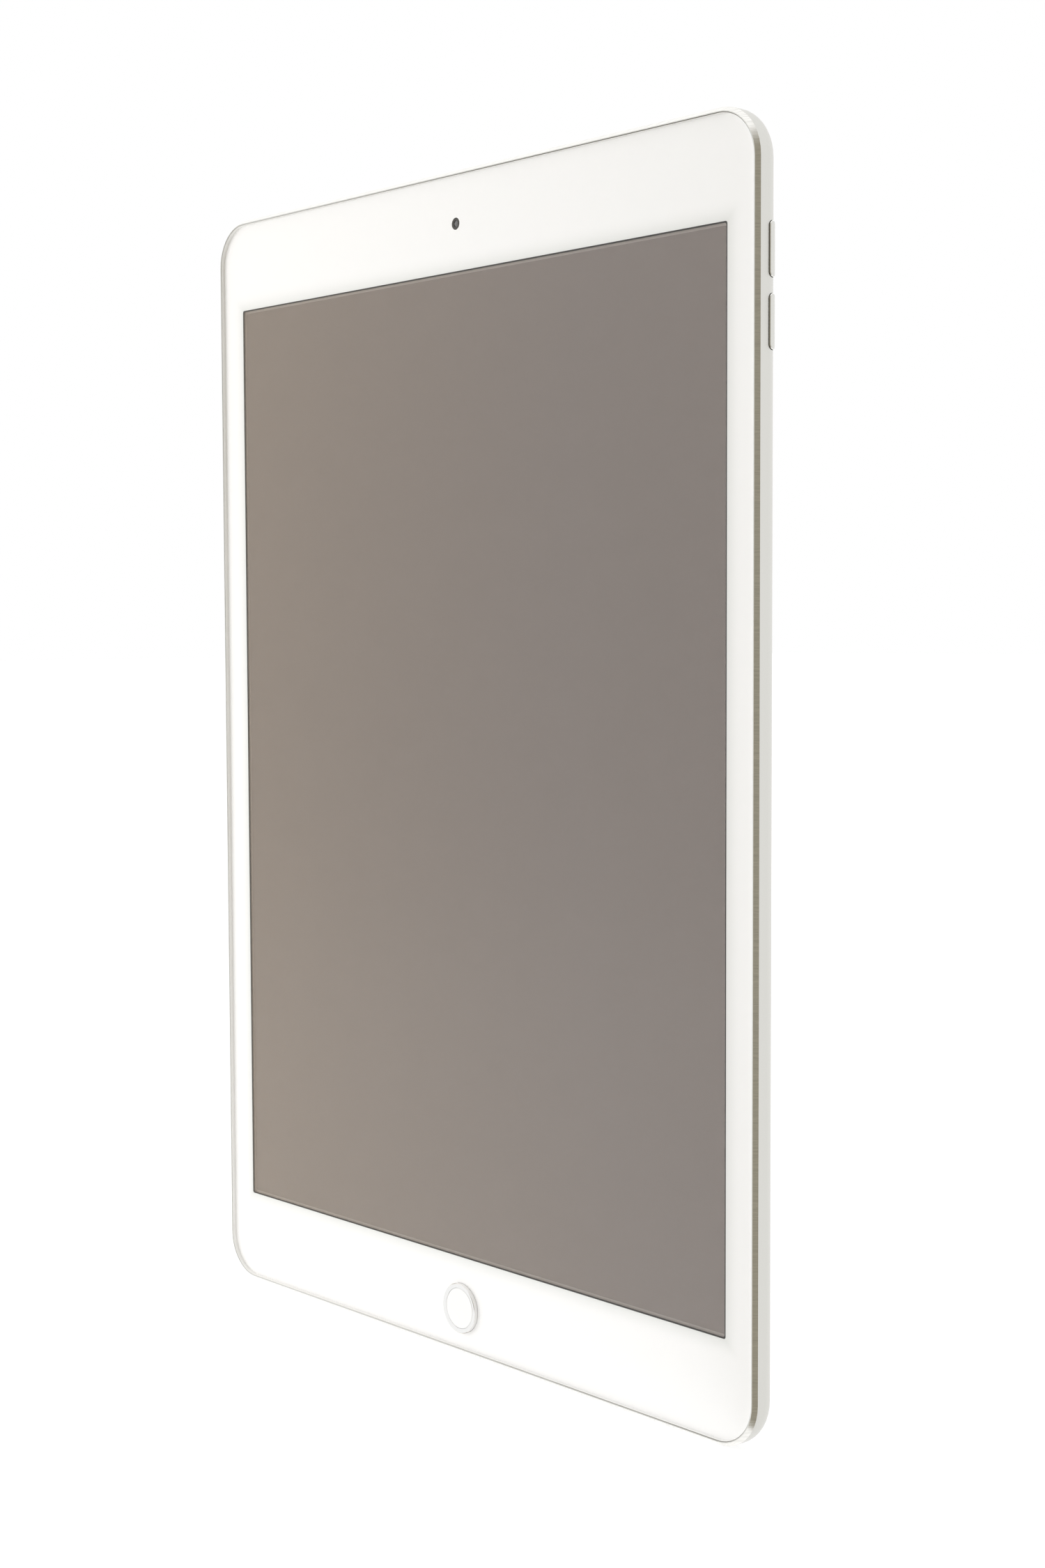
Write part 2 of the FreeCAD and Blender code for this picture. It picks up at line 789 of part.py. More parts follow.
def front_plate(label, inset, front, back):
    """A sheet with the outline of the tablet, smaller by an inset all round."""
    return plate(
        label,
        f"tablet_width - 2 * ({inset})",
        f"tablet_height - 2 * ({inset})",
        f"corner_radius - ({inset})",
        front,
        back,
    )


def front_ring(label, outer_inset, inner_inset, front, back):
    """A thin frame that follows the tablet's outline."""
    body = front_plate(label, outer_inset, front, back)
    window_cut(
        body,
        f"tablet_width - 2 * ({inner_inset})",
        f"tablet_height - 2 * ({inner_inset})",
        f"corner_radius - ({inner_inset})",
        f"{front} - cut_margin",
        f"{back} + cut_margin",
    )
    return body


def glass_gasket():
    """The soft strip in the gap between the glass and the housing's lip."""
    inner = "glass_inset - fit_gap"
    return front_ring("glass_gasket", "lip_inset", inner, "glass_bevel", "ledge_depth")


def glass_adhesive():
    """The tape that holds the glass down on the housing's ledge."""
    return front_ring("glass_adhesive", "glass_inset", "side_wall", "backing_back", "ledge_depth")


def cover_glass():
    """The front glass, with a hole for the home button and a fine bevel round both edges."""
    body = front_plate("cover_glass", "glass_inset", "0", "glass_thickness")
    through = ("-cut_margin", "glass_thickness + cut_margin")
    round_cut(body, "home_ring_radius + home_gap", "0", "home_height", *through)
    dress_up("Chamfer", body, body.Tip, lies_in_front, "Size", "glass_bevel")
    return body


def border_ink():
    """The white print a hair behind the glass, open at the picture, home button and front camera."""
    body = front_plate("border_ink", "glass_inset", "glass_thickness + fit_gap", "ink_back")
    through = ("glass_thickness - cut_margin", "ink_back + cut_margin")
    window_cut(body, "window_width", "window_height", "window_radius", *through)
    round_cut(body, "home_ring_radius + home_gap", "0", "home_height", *through)
    round_cut(body, "front_camera_radius", "0", "front_camera_height", *through)
    return body


def border_ink_backing():
    """The black print behind the white one; it shows as a thin line round the picture."""
    body = front_plate("border_ink_backing", "glass_inset", "ink_back", "backing_back")
    through = ("ink_back - cut_margin", "backing_back + cut_margin")
    window_cut(
        body,
        "window_width - 2 * backing_reveal",
        "window_height - 2 * backing_reveal",
        "window_radius",
        *through,
    )
    round_cut(body, "home_ring_radius + home_gap", "0", "home_height", *through)
    round_cut(body, "camera_pupil", "0", "front_camera_height", *through)
    return body


def touch_film():
    """The clear sheet that senses touch, a hair behind the print."""
    body = front_plate("touch_film", "film_inset", "backing_back + fit_gap", "film_back")
    through = ("backing_back - cut_margin", "film_back + cut_margin")
    round_cut(body, "home_seal_radius", "0", "home_height", *through)
    round_cut(body, "camera_barrel + camera_gap", "0", "front_camera_height", *through)
    return body


def touch_flex():
    """The ribbon that folds round the display's edge, from the touch film back to the logic board."""
    outside = "tablet_width / 2 - flex_bend_inset"
    start = "panel_width / 2 + flex_thickness"
    end = "board_centre + board_width / 2 - flex_landing"
    corners = [
        (start, "film_back"),
        (outside, "film_back"),
        (outside, "tray_back + 2 * flex_thickness"),
        (end, "tray_back + 2 * flex_thickness"),
        (end, "tray_back + flex_thickness"),
        (f"{outside} - flex_thickness", "tray_back + flex_thickness"),
        (f"{outside} - flex_thickness", "film_back + flex_thickness"),
        (start, "film_back + flex_thickness"),
    ]
    return strip("touch_flex", corners, "touch_flex_low", "touch_flex_low + touch_flex_width")


# ---------------------------------------------------------------- display

def panel_plate(label, front, back):
    """One of the display's layers, which all have the panel's outline."""
    return plate(label, "panel_width", "panel_height", "window_radius", front, back)


def display_foam_gasket():
    """The foam frame that keeps dust out between the touch film and the panel."""
    body = panel_plate("display_foam_gasket", "film_back", "panel_depth")
    window_cut(
        body,
        "window_width + 2 * gasket_margin",
        "window_height + 2 * gasket_margin",
        "window_radius",
        "film_back - cut_margin",
        "panel_depth + cut_margin",
    )
    return body


def display_polarizer():
    """The dark film over the picture."""
    return plate(
        "display_polarizer", "picture_width", "picture_height", "window_radius",
        "polarizer_depth", "panel_depth",
    )


def display_panel():
    return panel_plate("display_panel", "panel_depth", "backlight_depth")


def display_backlight():
    return panel_plate("display_backlight", "backlight_depth", "tray_depth")


def display_tray():
    """The thin metal tray behind the backlight, with four screw tabs."""
    body = panel_plate("display_tray", "tray_depth", "tray_back")
    sketch = sketch_at_depth(body, "(tray_depth + tray_back) / 2")
    long = "tab_width + 2 * tab_reach"
    for across, up in tray_tab_places():
        rounded_rectangle(sketch, "tab_width", long, "window_radius", across, up)
    tabs = pad(body, sketch, "tray_back - tray_depth")
    body.Tip = tabs
    holes = sketch_at_depth(body, "tray_depth")
    for across, up in tray_tab_places():
        circle(holes, "screw_radius + socket_margin", across, up)
    pocket(body, holes, "2 * (tray_back - tray_depth) + cut_margin")
    return body


def display_flex():
    """The display's ribbon, folded flat behind the tray."""
    return plate(
        "display_flex", "display_flex_width", "display_flex_height", "window_radius",
        "tray_back", "tray_back + flex_thickness", "board_centre", "display_flex_middle",
    )


def screw(across, up, seat, length):
    """A small pan-head screw whose head sits on a seat at some depth."""
    top = f"{seat} - screw_head - tablet_thickness / 2"
    under = f"{seat} - tablet_thickness / 2"
    head = pin("head", "screw_head_radius", "screw_head", (across, top, up), BACK)
    shank = pin("shank", "screw_radius - thread_gap", length, (across, under, up), BACK)
    joined = doc.addObject("Part::Fuse", "screw")
    joined.Base = head
    joined.Tool = shank
    return joined


def display_screws():
    """One screw through each tab of the tray."""
    screws = [screw(across, up, "tray_depth", "screw_length") for across, up in tray_tab_places()]
    return group("display_screws", screws)


# ---------------------------------------------------------------- home button

def home_button_cap():
    """The round cap that a finger presses, a little below the glass."""
    profile = [
        ("0", "home_recess"),
        ("home_cap_radius - glass_bevel", "home_recess"),
        ("home_cap_radius", "home_recess + glass_bevel"),
        ("home_cap_radius", "home_cap_back"),
        ("0", "home_cap_back"),
    ]
    return turned("home_button_cap", profile, "0", "home_height")


def home_button_ring():
    """The metal ring round the cap: its front slopes inwards, its back has a flange behind the glass."""
    profile = [
        ("home_cap_radius + cap_gap", "home_recess + cap_gap"),
        ("home_ring_radius - ring_edge", "ring_front"),
        ("home_ring_radius", "ring_front + ring_edge"),
        ("home_ring_radius", "flange_front"),
        ("home_flange_radius", "flange_front"),
        ("home_flange_radius", "flange_back"),
        ("home_sensor_radius + cap_gap", "flange_back"),
        ("home_sensor_radius + cap_gap", "home_cap_back"),
        ("home_cap_radius + cap_gap", "home_cap_back"),
    ]
    return turned("home_button_ring", profile, "0", "home_height")


def home_button_sensor():
    """The fingerprint sensor on the back of the cap."""
    profile = [
        ("0", "home_cap_back"),
        ("home_sensor_radius", "home_cap_back"),
        ("home_sensor_radius", "sensor_back"),
        ("0", "sensor_back"),
    ]
    return turned("home_button_sensor", profile, "0", "home_height")


def home_button_gasket():
    """A soft ring between the glass and the flange, which keeps dust and water out."""
    profile = [
        ("home_ring_radius + home_gap", "backing_back"),
        ("home_seal_radius - cap_gap", "backing_back"),
        ("home_seal_radius - cap_gap", "flange_front"),
        ("home_ring_radius + home_gap", "flange_front"),
    ]
    return turned("home_button_gasket", profile, "0", "home_height")


def home_button_switch():
    """A low dome on a round base, just clear of the sensor at the button's full travel."""
    profile = [
        ("0", "dome_front"),
        ("dome_radius / 2", "dome_front"),
        ("dome_radius", "switch_front"),
        ("switch_radius", "switch_front"),
        ("switch_radius", "switch_back"),
        ("0", "switch_back"),
    ]
    return turned("home_button_switch", profile, "0", "home_height")


def home_button_bracket():
    """A steel plate behind the button, standing on two feet on the back of the glass."""
    body = plate(
        "home_button_bracket", "bracket_width", "bracket_height", "boss_radius",
        "switch_back", "bracket_back", "0", "home_height",
    )
    sketch = sketch_at_depth(body, "(film_back + bracket_back) / 2")
    for side in (-1, 1):
        foot = f"{side} * (bracket_width - bracket_foot) / 2"
        rounded_rectangle(sketch, "bracket_foot", "bracket_height", "window_radius", foot, "home_height")
    pad(body, sketch, "bracket_back - film_back")
    return body


def home_button_flex():
    """The button's ribbon, on the back of its bracket."""
    up = "home_height + home_flex_rise"
    return plate(
        "home_button_flex", "home_flex_width", "home_flex_height", "window_radius",
        "bracket_back", "bracket_back + flex_thickness", "home_flex_across", up,
    )


def home_bracket_screws():
    """The thin screw heads that hold the bracket from behind, one on each foot."""
    heads = []
    for side in (-1, 1):
        across = f"{side} * (bracket_width - bracket_foot) / 2"
        start = (across, "bracket_back - tablet_thickness / 2", "home_height")
        heads.append(pin("head", "screw_head_radius", "flex_thickness", start, BACK))
    return group("home_bracket_screws", heads)


# ---------------------------------------------------------------- battery and electronics

def battery_cell(label, step):
    """One of the two flat cells, one above the other."""
    low = f"battery_low + {step} * (battery_cell_height + battery_gap)"
    return plate(
        label, "battery_width", "battery_cell_height", "boss_radius",
        "battery_front", "battery_back", "battery_centre", f"{low} + battery_cell_height / 2",
    )


def battery_adhesive():
    """Pull-out glue strips between the cells and the floor of the housing."""
    strips = []
    low = "battery_low + glue_margin"
    high = "battery_low + 2 * battery_cell_height + battery_gap - glue_margin"
    for step in range(GLUE_STRIPS):
        left = f"battery_centre - battery_width / 2 + glue_margin + {step} * glue_pitch"
        across = (left, f"{left} + glue_width")
        strips.append(block(f"glue_strip{step}", across, ("battery_back", "floor_depth"), (low, high)))
    return group("battery_adhesive", strips)


def battery_board():
    """The narrow protection board in the gap between the two cells."""
    half = "battery_board_width / 2"
    gap_start = "battery_low + battery_cell_height"
    return block(
        "battery_board",
        (f"battery_centre - {half}", f"battery_centre + {half}"),
        ("battery_board_depth", "battery_board_depth + battery_board_thick"),
        (f"{gap_start} + cell_clearance", f"{gap_start} + battery_gap - cell_clearance"),
    )


def logic_board():
    """The long board beside the battery, screwed down at six places."""
    body = plate(
        "logic_board", "board_width", "board_height", "boss_radius",
        "board_depth", "board_back", "board_centre", "board_low + board_height / 2",
    )
    holes = sketch_at_depth(body, "board_depth")
    for across, up in board_boss_places():
        circle(holes, "screw_radius + socket_margin", across, up)
    pocket(body, holes, "2 * (board_back - board_depth) + cut_margin")
    return body


def chip(name, across, up, width, height, thick):
    """A square chip on the front of the logic board, named by its middle."""
    return block(
        name,
        (f"board_centre + {across} - {width} / 2", f"board_centre + {across} + {width} / 2"),
        (f"board_depth - {thick}", "board_depth"),
        (f"board_low + {up} - {height} / 2", f"board_low + {up} + {height} / 2"),
    )


def logic_board_chips():
    """All the chips on the front of the board."""
    return group("logic_board_chips", [chip(name, *sizes) for name, sizes in CHIPS.items()])


def logic_board_shield():
    """A stamped can over the processor and memory, open towards the board."""
    body = plate(
        "logic_board_shield", "shield_width", "shield_height", "window_radius",
        "shield_front", "board_depth", "board_centre", "board_low + shield_middle",
    )
    window_cut(
        body, "shield_width - 2 * shield_wall", "shield_height - 2 * shield_wall", "shield_wall",
        "shield_front + shield_wall", "board_depth + cut_margin",
        "board_centre", "board_low + shield_middle",
    )
    return body


def logic_board_screws():
    """One screw through each hole of the board."""
    places = board_boss_places()
    screws = [screw(across, up, "board_depth", "board_screw_length") for across, up in places]
    return group("logic_board_screws", screws)


def antenna(label, side):
    """A flat antenna behind the border above the picture."""
    across = on_side(side, "antenna_inner", "antenna_outer")
    depth = ("antenna_depth", "antenna_depth + antenna_thick")
    return block(label, across, depth, ("antenna_low", "antenna_low + antenna_height"))


# ---------------------------------------------------------------- cameras and microphone

def front_camera():
    """A small block behind the border, with a round barrel that reaches up to the print."""
    body = plate(
        "front_camera", "front_module", "front_module", "window_radius",
        "film_back + camera_rise", "front_module_back", "0", "front_camera_height",
    )
    sketch = sketch_at_depth(body, "(backing_back + camera_seat) / 2")
    circle(sketch, "camera_barrel", "0", "front_camera_height")
    pad(body, sketch, "camera_seat - backing_back")
    opening = ("backing_back - cut_margin", "camera_seat")
    round_cut(body, "camera_lens", "0", "front_camera_height", *opening)
    return body


def front_camera_lens():
    """A low domed lens in the barrel of the front camera."""
    front = "backing_back + cap_gap"
    profile = [
        ("0", front),
        ("camera_lens / 2", f"{front} + lens_dome / 4"),
        ("camera_lens", f"{front} + lens_dome"),
        ("camera_lens", "camera_seat"),
        ("0", "camera_seat"),
    ]
    return turned("front_camera_lens", profile, "0", "front_camera_height")


def rear_camera():
    """The main camera: a square block with a round barrel that points out of the back."""
    body = plate(
        "rear_camera", "rear_module", "rear_module", "window_radius",
        "rear_module_front", "rear_module_back", "rear_camera_across", "rear_camera_height",
    )
    sketch = sketch_at_depth(body, "(rear_module_back + rear_barrel_back) / 2")
    circle(sketch, "rear_barrel", "rear_camera_across", "rear_camera_height")
    pad(body, sketch, "rear_barrel_back - rear_module_back")
    return body


def rear_camera_lens():
    """The clear cover over the main camera, set a little into its ring."""
    profile = [
        ("0", "rear_barrel_back + cap_gap"),
        ("rear_lens_radius", "rear_barrel_back + cap_gap"),
        ("rear_lens_radius", "tablet_thickness - glass_bevel"),
        ("0", "tablet_thickness - glass_bevel"),
    ]
    return turned("rear_camera_lens", profile, "rear_camera_across", "rear_camera_height")


def rear_camera_ring():
    """The metal ring round the main camera, level with the back."""
    profile = [
        ("rear_lens_radius", "rear_module_back + 2 * camera_gap"),
        ("rear_camera_radius", "rear_module_back + 2 * camera_gap"),
        ("rear_camera_radius", "tablet_thickness"),
        ("rear_lens_radius + glass_bevel", "tablet_thickness"),
        ("rear_lens_radius", "tablet_thickness - glass_bevel"),
    ]
    return turned("rear_camera_ring", profile, "rear_camera_across", "rear_camera_height")


def microphone():
    """The microphone behind its small hole in the back."""
    half_width = "microphone_width / 2"
    half_height = "microphone_height / 2"
    return block(
        "microphone",
        (f"microphone_across - {half_width}", f"microphone_across + {half_width}"),
        ("floor_depth - microphone_thick", "floor_depth"),
        (f"rear_camera_height - {half_height}", f"rear_camera_height + {half_height}"),
    )


# ---------------------------------------------------------------- sound and power sockets

def speaker(label, side):
    """A speaker's closed box above its grille."""
    inner = "speaker_first_hole - speaker_overhang"
    across = on_side(side, inner, f"{inner} + speaker_width")
    return block(label, across, ("speaker_front", "speaker_back"), ("speaker_low", "speaker_high"))


def speaker_mesh(label, side):
    """A fine cloth behind the rows of holes."""
    inner = "speaker_first_hole - mesh_margin"
    outer = f"speaker_first_hole + {SPEAKER_HOLES - 1} * speaker_hole_pitch + mesh_margin"
    front = "speaker_row_depth - speaker_hole_radius"
    back = "speaker_row_depth + speaker_row_pitch + speaker_hole_radius"
    low = "side_wall"
    return block(label, on_side(side, inner, outer), (front, back), (low, f"{low} + mesh_thickness"))


def headphone_jack():
    """A plastic block with a round bore, closed at its inner end."""
    body = new_body("headphone_jack")
    middle = "socket_depth - tablet_thickness / 2"
    low = "tablet_height - jack_length - jack_end"
    high = "tablet_height - jack_wall"
    sketch = sketch_on(body, "XY_Plane", f"({low} + {high}) / 2")
    rounded_rectangle(sketch, "jack_block", "jack_thick", "window_radius", "jack_across", middle)
    pad(body, sketch, f"{high} - ({low})")
    bore = sketch_on(body, "XY_Plane", "tablet_height")
    circle(bore, "jack_radius", "jack_across", middle)
    pocket(body, bore, "2 * jack_length")
    return body


def headphone_jack_flex():
    """The socket's ribbon, on the side that faces the middle."""
    near = "jack_across + jack_block / 2"
    low = "tablet_height - jack_length - jack_end"
    return block(
        "headphone_jack_flex",
        (near, f"{near} + flex_thickness"),
        ("socket_depth - jack_flex_width / 2", "socket_depth + jack_flex_width / 2"),
        (low, f"{low} + jack_flex_length"),
    )


def charge_port():
    """A drawn metal shell with an oblong opening, closed behind."""
    body = new_body("charge_port")
    middle = "socket_depth - tablet_thickness / 2"
    sketch = sketch_on(body, "XY_Plane", "port_wall + port_length / 2")
    width = "port_width + 2 * port_shell"
    height = "port_opening + 2 * port_shell"
    rounded_rectangle(sketch, width, height, "port_rounding + port_shell", "0", middle)
    pad(body, sketch, "port_length")
    opening = sketch_on(body, "XY_Plane", "port_wall")
    rounded_rectangle(opening, "port_width", "port_opening", "port_rounding", "0", middle)
    pocket(body, opening, "2 * (port_length - port_end)")
    return body


def charge_port_tongue():
    """The flat tongue in the middle of the port that carries its contacts."""
    return block(
        "charge_port_tongue",
        ("-tongue_width / 2", "tongue_width / 2"),
        ("socket_depth - tongue_thick / 2", "socket_depth + tongue_thick / 2"),
        ("port_wall + tongue_recess", "port_wall + port_length - port_end"),
    )


def charge_port_flex():
    """The ribbon that leads up from the port."""
    front = "socket_depth + port_flex_offset"
    low = "port_wall + port_length"
    return block(
        "charge_port_flex",
        ("-port_flex_width / 2", "port_flex_width / 2"),
        (front, f"{front} + flex_thickness"),
        (low, f"{low} + port_flex_length"),
    )


# ---------------------------------------------------------------- buttons on the edges

def set_on_edge(body, side, along):
    """Place a piece drawn with x outwards, y in depth and z along the edge."""
    bind(body, "Placement.Base.y", "-tablet_thickness / 2")
    if side == "right":
        bind(body, "Placement.Base.x", "tablet_width / 2")
        bind(body, "Placement.Base.z", along)
    else:
        body.Placement.Rotation = Rotation(Vector(0, 1, 0), -90)
        bind(body, "Placement.Base.x", along)
        bind(body, "Placement.Base.z", "tablet_height")


def button_cap_section(sketch):
    """The cap in section: its outer face follows the housing's edge at a small raise."""
    crest = "edge_arc_radius + button_raise"
    drop = f"sqrt(({crest}) ^ 2 - (button_back - side_depth) ^ 2) - edge_arc_radius"
    root = "-button_recess - button_play"
    corners = [
        ("button_raise", "side_depth"),
        (drop, "button_back"),
        (root, "button_back"),
        (root, "side_depth"),
    ]
    front, back, root_back, root_front = (Vector(value(out), value(depth), 0) for out, depth in corners)
    centre = front - Vector(value(crest), 0, 0)
    end_angle = math.atan2(back.y - centre.y, back.x - centre.x)
    outer = Part.Circle(centre, Vector(0, 0, 1), value(crest))
    sketch.addGeometry(Part.ArcOfCircle(outer, 0, end_angle))
    sketch.addGeometry(Part.LineSegment(back, root_back))
    sketch.addGeometry(Part.LineSegment(root_back, root_front))
    sketch.addGeometry(Part.LineSegment(root_front, front))
    for index in range(4):
        sketch.addConstraint(Sketcher.Constraint("Coincident", index, 2, (index + 1) % 4, 1))
    dimension(sketch, "Radius", (0,), crest)
    for index, (out, depth) in enumerate(corners):
        dimension(sketch, "DistanceX", (index, 1), out)
        dimension(sketch, "DistanceY", (index, 1), depth)


def edge_box(body, out, depth, long):
    """Add a box to an edge piece, centred along the edge."""
    sketch = sketch_on(body, "XY_Plane", "0")
    inner, outer = out
    front, back = depth
    polygon(sketch, [(inner, front), (outer, front), (outer, back), (inner, back)])
    return pad(body, sketch, long)


def edge_button(label, side, along):
    """A cap with rounded ends, a flange that keeps it in its slot and a nub for the switch."""
    body = new_body(label)
    sketch = sketch_on(body, "XY_Plane", "0")
    button_cap_section(sketch)
    cap = pad(body, sketch, "button_length")
    ends = dress_up("Fillet", body, cap, runs_outwards, "Radius", "button_rounding")
    dress_up("Chamfer", body, ends, lies_outside, "Size", "button_bevel")
    flange = ("-button_recess - button_play - button_flange", "-button_recess - button_play")
    edge_box(body, flange, ("side_depth", "button_back"), "button_length + 2 * flange_end")
    nub = (f"{flange[0]} - nub_rise", flange[0])
    edge_box(body, nub, ("side_depth + nub_margin", "button_back - nub_margin"), "nub_length")
    set_on_edge(body, side, along)
    return body


def edge_switches(label, side, along, spacing, long):
    """A stiff strip of flex behind the buttons, with one metal dome for each."""
    body = new_body(label)
    middle = "(side_depth + button_back) / 2"
    out = ("-switch_inset - switch_board", "-switch_inset")
    edge_box(body, out, ("switch_strip_front", "switch_strip_back"), long)
    sketch = sketch_on(body, "YZ_Plane", "-switch_inset + dome_rise / 2")
    for place in spacing:
        circle(sketch, "dome_width / 2", middle, place)
    pad(body, sketch, "dome_rise")
    set_on_edge(body, side, along)
    return body


def edge_bracket(label, side, along, long):
    """The steel strip that backs the switches."""
    body = new_body(label)
    out = ("-switch_inset - switch_board - bracket_steel", "-switch_inset - switch_board")
    edge_box(body, out, ("switch_strip_front", "switch_strip_back"), long)
    set_on_edge(body, side, along)
    return body


# ---------------------------------------------------------------- small pieces along the sides

def cover_magnets():
    """Bar magnets along both long sides, which hold a folding cover."""
    magnets = []
    wall = "tablet_width / 2 - side_wall"
    for side in (-1, 1):
        across = on_side(side, f"{wall} - magnet_thick", wall)
        for step in range(MAGNETS_PER_SIDE):
            low = f"magnet_low + {step} * magnet_pitch"
            depth = ("magnet_front", "magnet_front + magnet_deep")
            magnets.append(block(f"magnet{step}", across, depth, (low, f"{low} + magnet_length")))
    return group("cover_magnets", magnets)


def accessory_contacts():
    """Three round contacts in the left side."""
    pins = []
    for step in (-1, 0, 1):
        start = ("-tablet_width / 2", "contact_depth - tablet_thickness / 2", contact_height(step))
        radius = "contact_radius - thread_gap"
        pins.append(pin("contact", radius, "side_wall - contact_gap", start, RIGHT))
    return group("accessory_contacts", pins)


# ---------------------------------------------------------------- the whole tablet

both_switches = (f"-{VOLUME_HALF_PITCH}", VOLUME_HALF_PITCH)
parts = [
    rear_housing(),
    glass_gasket(),
    glass_adhesive(),
    cover_glass(),
    border_ink(),
    border_ink_backing(),
    touch_film(),
    touch_flex(),
    display_foam_gasket(),
    display_polarizer(),
    display_panel(),
    display_backlight(),
    display_tray(),
    display_flex(),
    display_screws(),
    home_button_cap(),
    home_button_ring(),
    home_button_sensor(),
    home_button_gasket(),
    home_button_switch(),
    home_button_bracket(),
    home_button_flex(),
    home_bracket_screws(),
    battery_cell("battery_cell_lower", 0),
    battery_cell("battery_cell_upper", 1),
    battery_adhesive(),
    battery_board(),
    logic_board(),
    logic_board_chips(),
    logic_board_shield(),
    logic_board_screws(),
    antenna("antenna_left", -1),
    antenna("antenna_right", 1),
    front_camera(),
    front_camera_lens(),
    rear_camera(),
    rear_camera_lens(),
    rear_camera_ring(),
    microphone(),
    speaker("speaker_left", -1),
    speaker("speaker_right", 1),
    speaker_mesh("speaker_mesh_left", -1),
    speaker_mesh("speaker_mesh_right", 1),
    headphone_jack(),
    headphone_jack_flex(),
    charge_port(),
    charge_port_tongue(),
    charge_port_flex(),
    edge_button("volume_up_button", "right", "volume_up_height"),
    edge_button("volume_down_button", "right", "volume_down_height"),
    edge_switches("volume_switches", "right", VOLUME_MIDDLE, both_switches, VOLUME_LENGTH),
    edge_bracket("volume_bracket", "right", VOLUME_MIDDLE, VOLUME_LENGTH),
    edge_button("power_button", "top", "power_across"),
    edge_switches("power_switch", "top", "power_across", ("0",), POWER_LENGTH),
    edge_bracket("power_bracket", "top", "power_across", POWER_LENGTH),
    cover_magnets(),
    accessory_contacts(),
]
doc.recompute()

for thing in doc.Objects:
    if {"Invalid", "Error"} & set(thing.State):
        raise RuntimeError(f"{thing.Label} has failed: {thing.State}")
for part in parts:
    if part.Shape.isNull() or not part.Shape.isValid():
        raise RuntimeError(f"{part.Label} has no valid shape")

os.makedirs("parts", exist_ok=True)
for part in parts:
    part.Shape.exportStep(f"parts/{part.Label}.step")
print(f"{len(parts)} sub-parts written")
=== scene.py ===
"""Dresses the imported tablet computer: materials, fine surface detail, a white studio and a camera.

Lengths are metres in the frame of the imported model: the origin is in the middle of the bottom edge,
+Z runs up the height, +X is right as seen from the screen, and the screen faces -Y.
"""
import json
import math

import bpy
from mathutils import Matrix, Vector


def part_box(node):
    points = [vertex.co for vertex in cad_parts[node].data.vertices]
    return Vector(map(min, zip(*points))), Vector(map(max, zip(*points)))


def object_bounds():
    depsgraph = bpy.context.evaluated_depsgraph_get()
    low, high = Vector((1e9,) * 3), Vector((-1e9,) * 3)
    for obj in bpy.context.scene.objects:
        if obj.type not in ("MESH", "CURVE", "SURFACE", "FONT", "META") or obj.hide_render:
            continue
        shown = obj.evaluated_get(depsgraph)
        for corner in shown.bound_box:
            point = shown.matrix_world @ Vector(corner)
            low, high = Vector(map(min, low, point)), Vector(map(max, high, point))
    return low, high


MM = 0.001

# the opening in the printed border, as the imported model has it
OPENING_WIDTH = 157.0 * MM
OPENING_HEIGHT = 209.26 * MM

# how faces are told apart when part of a piece gets its own finish
BEVEL_DEPTH = 0.8 * MM
BEVEL_NORMAL_Y = (-0.9, -0.5)
FACING_FRONT = -0.9
SIDEWAYS = 0.1
OUTWARD = 0.75

# clear sheets mirror more at a slant, by this power of how far they are turned from the eye,
# and what they mirror changes colour between these two turns (0 is head on, 1 is edge on)
MIRROR_GROWTH = 4.0
MIRROR_TINT_TURNS = (0.33, 0.46)

# the cutter's marks on bevelled metal
TOOL_MARK_AXIS = (0.7, 0.7, 0.0)
TOOL_MARK_SLANT = math.radians(35)

# how far from the opening the white print darkens, partly as thinner print and partly as painted
# shade
THINNING_AND_SHADE_REACH = 4 * MM

# how much the painted shade in the gasket's groove grows upwards, as a share of its growth to the
# right, and how far its patches shift it
SHADE_CLIMB = 0.35
SHADE_PATCHINESS = 50 * MM

# dust on the screen, with a speck's core and soft edge as shares of the spacing
SPECK_SPACING = 17 * MM
SPECK_CORE, SPECK_EDGE = 0.008, 0.014

# rings on round pieces
LATHE_PITCH = 0.05 * MM
BARREL_RING_PITCH = 1.1 * MM

# the photograph's view
CAMERA_PLACE = Vector((0.3810, -0.3169, 0.1545))
CAMERA_AZIMUTH = math.radians(48.93)
CAMERA_ELEVATION = math.radians(3.71)
CAMERA_ROLL = math.radians(-0.23)
CAMERA_LENS_MM = 53.57
CAMERA_NEAREST = 0.01
FILM_MM = 36.0

# the studio: white all round, and dim within a cone behind the camera (cosines of its edges)
WHITE = (1.0, 1.0, 1.0, 1.0)
ROOM_LIGHT = (1.22, 1.22, 1.22)
ROOM_DARK = (0.36, 0.335, 0.27)
DIM_EDGE = 0.45
DIM_CORE = 0.97
LAMP_PLACE = (-0.60, -0.45, 0.16)
LAMP_AIM = (0.0, 0.0, 0.12)
LAMP_SIZE = 0.5
LAMP_WATTS = 2.0
FLOOR_REACH = 12.0
FLOOR_DROP = 0.02 * MM
FLOOR_GLOW = 0.80

# inputs and the output of a Mix node that mixes colours
MIX_SHARE, MIX_FIRST, MIX_SECOND = 0, 6, 7
MIX_RESULT = 2

# a Wave node of scale 1 turns this many radians in a metre
WAVE_TURN = 20.0

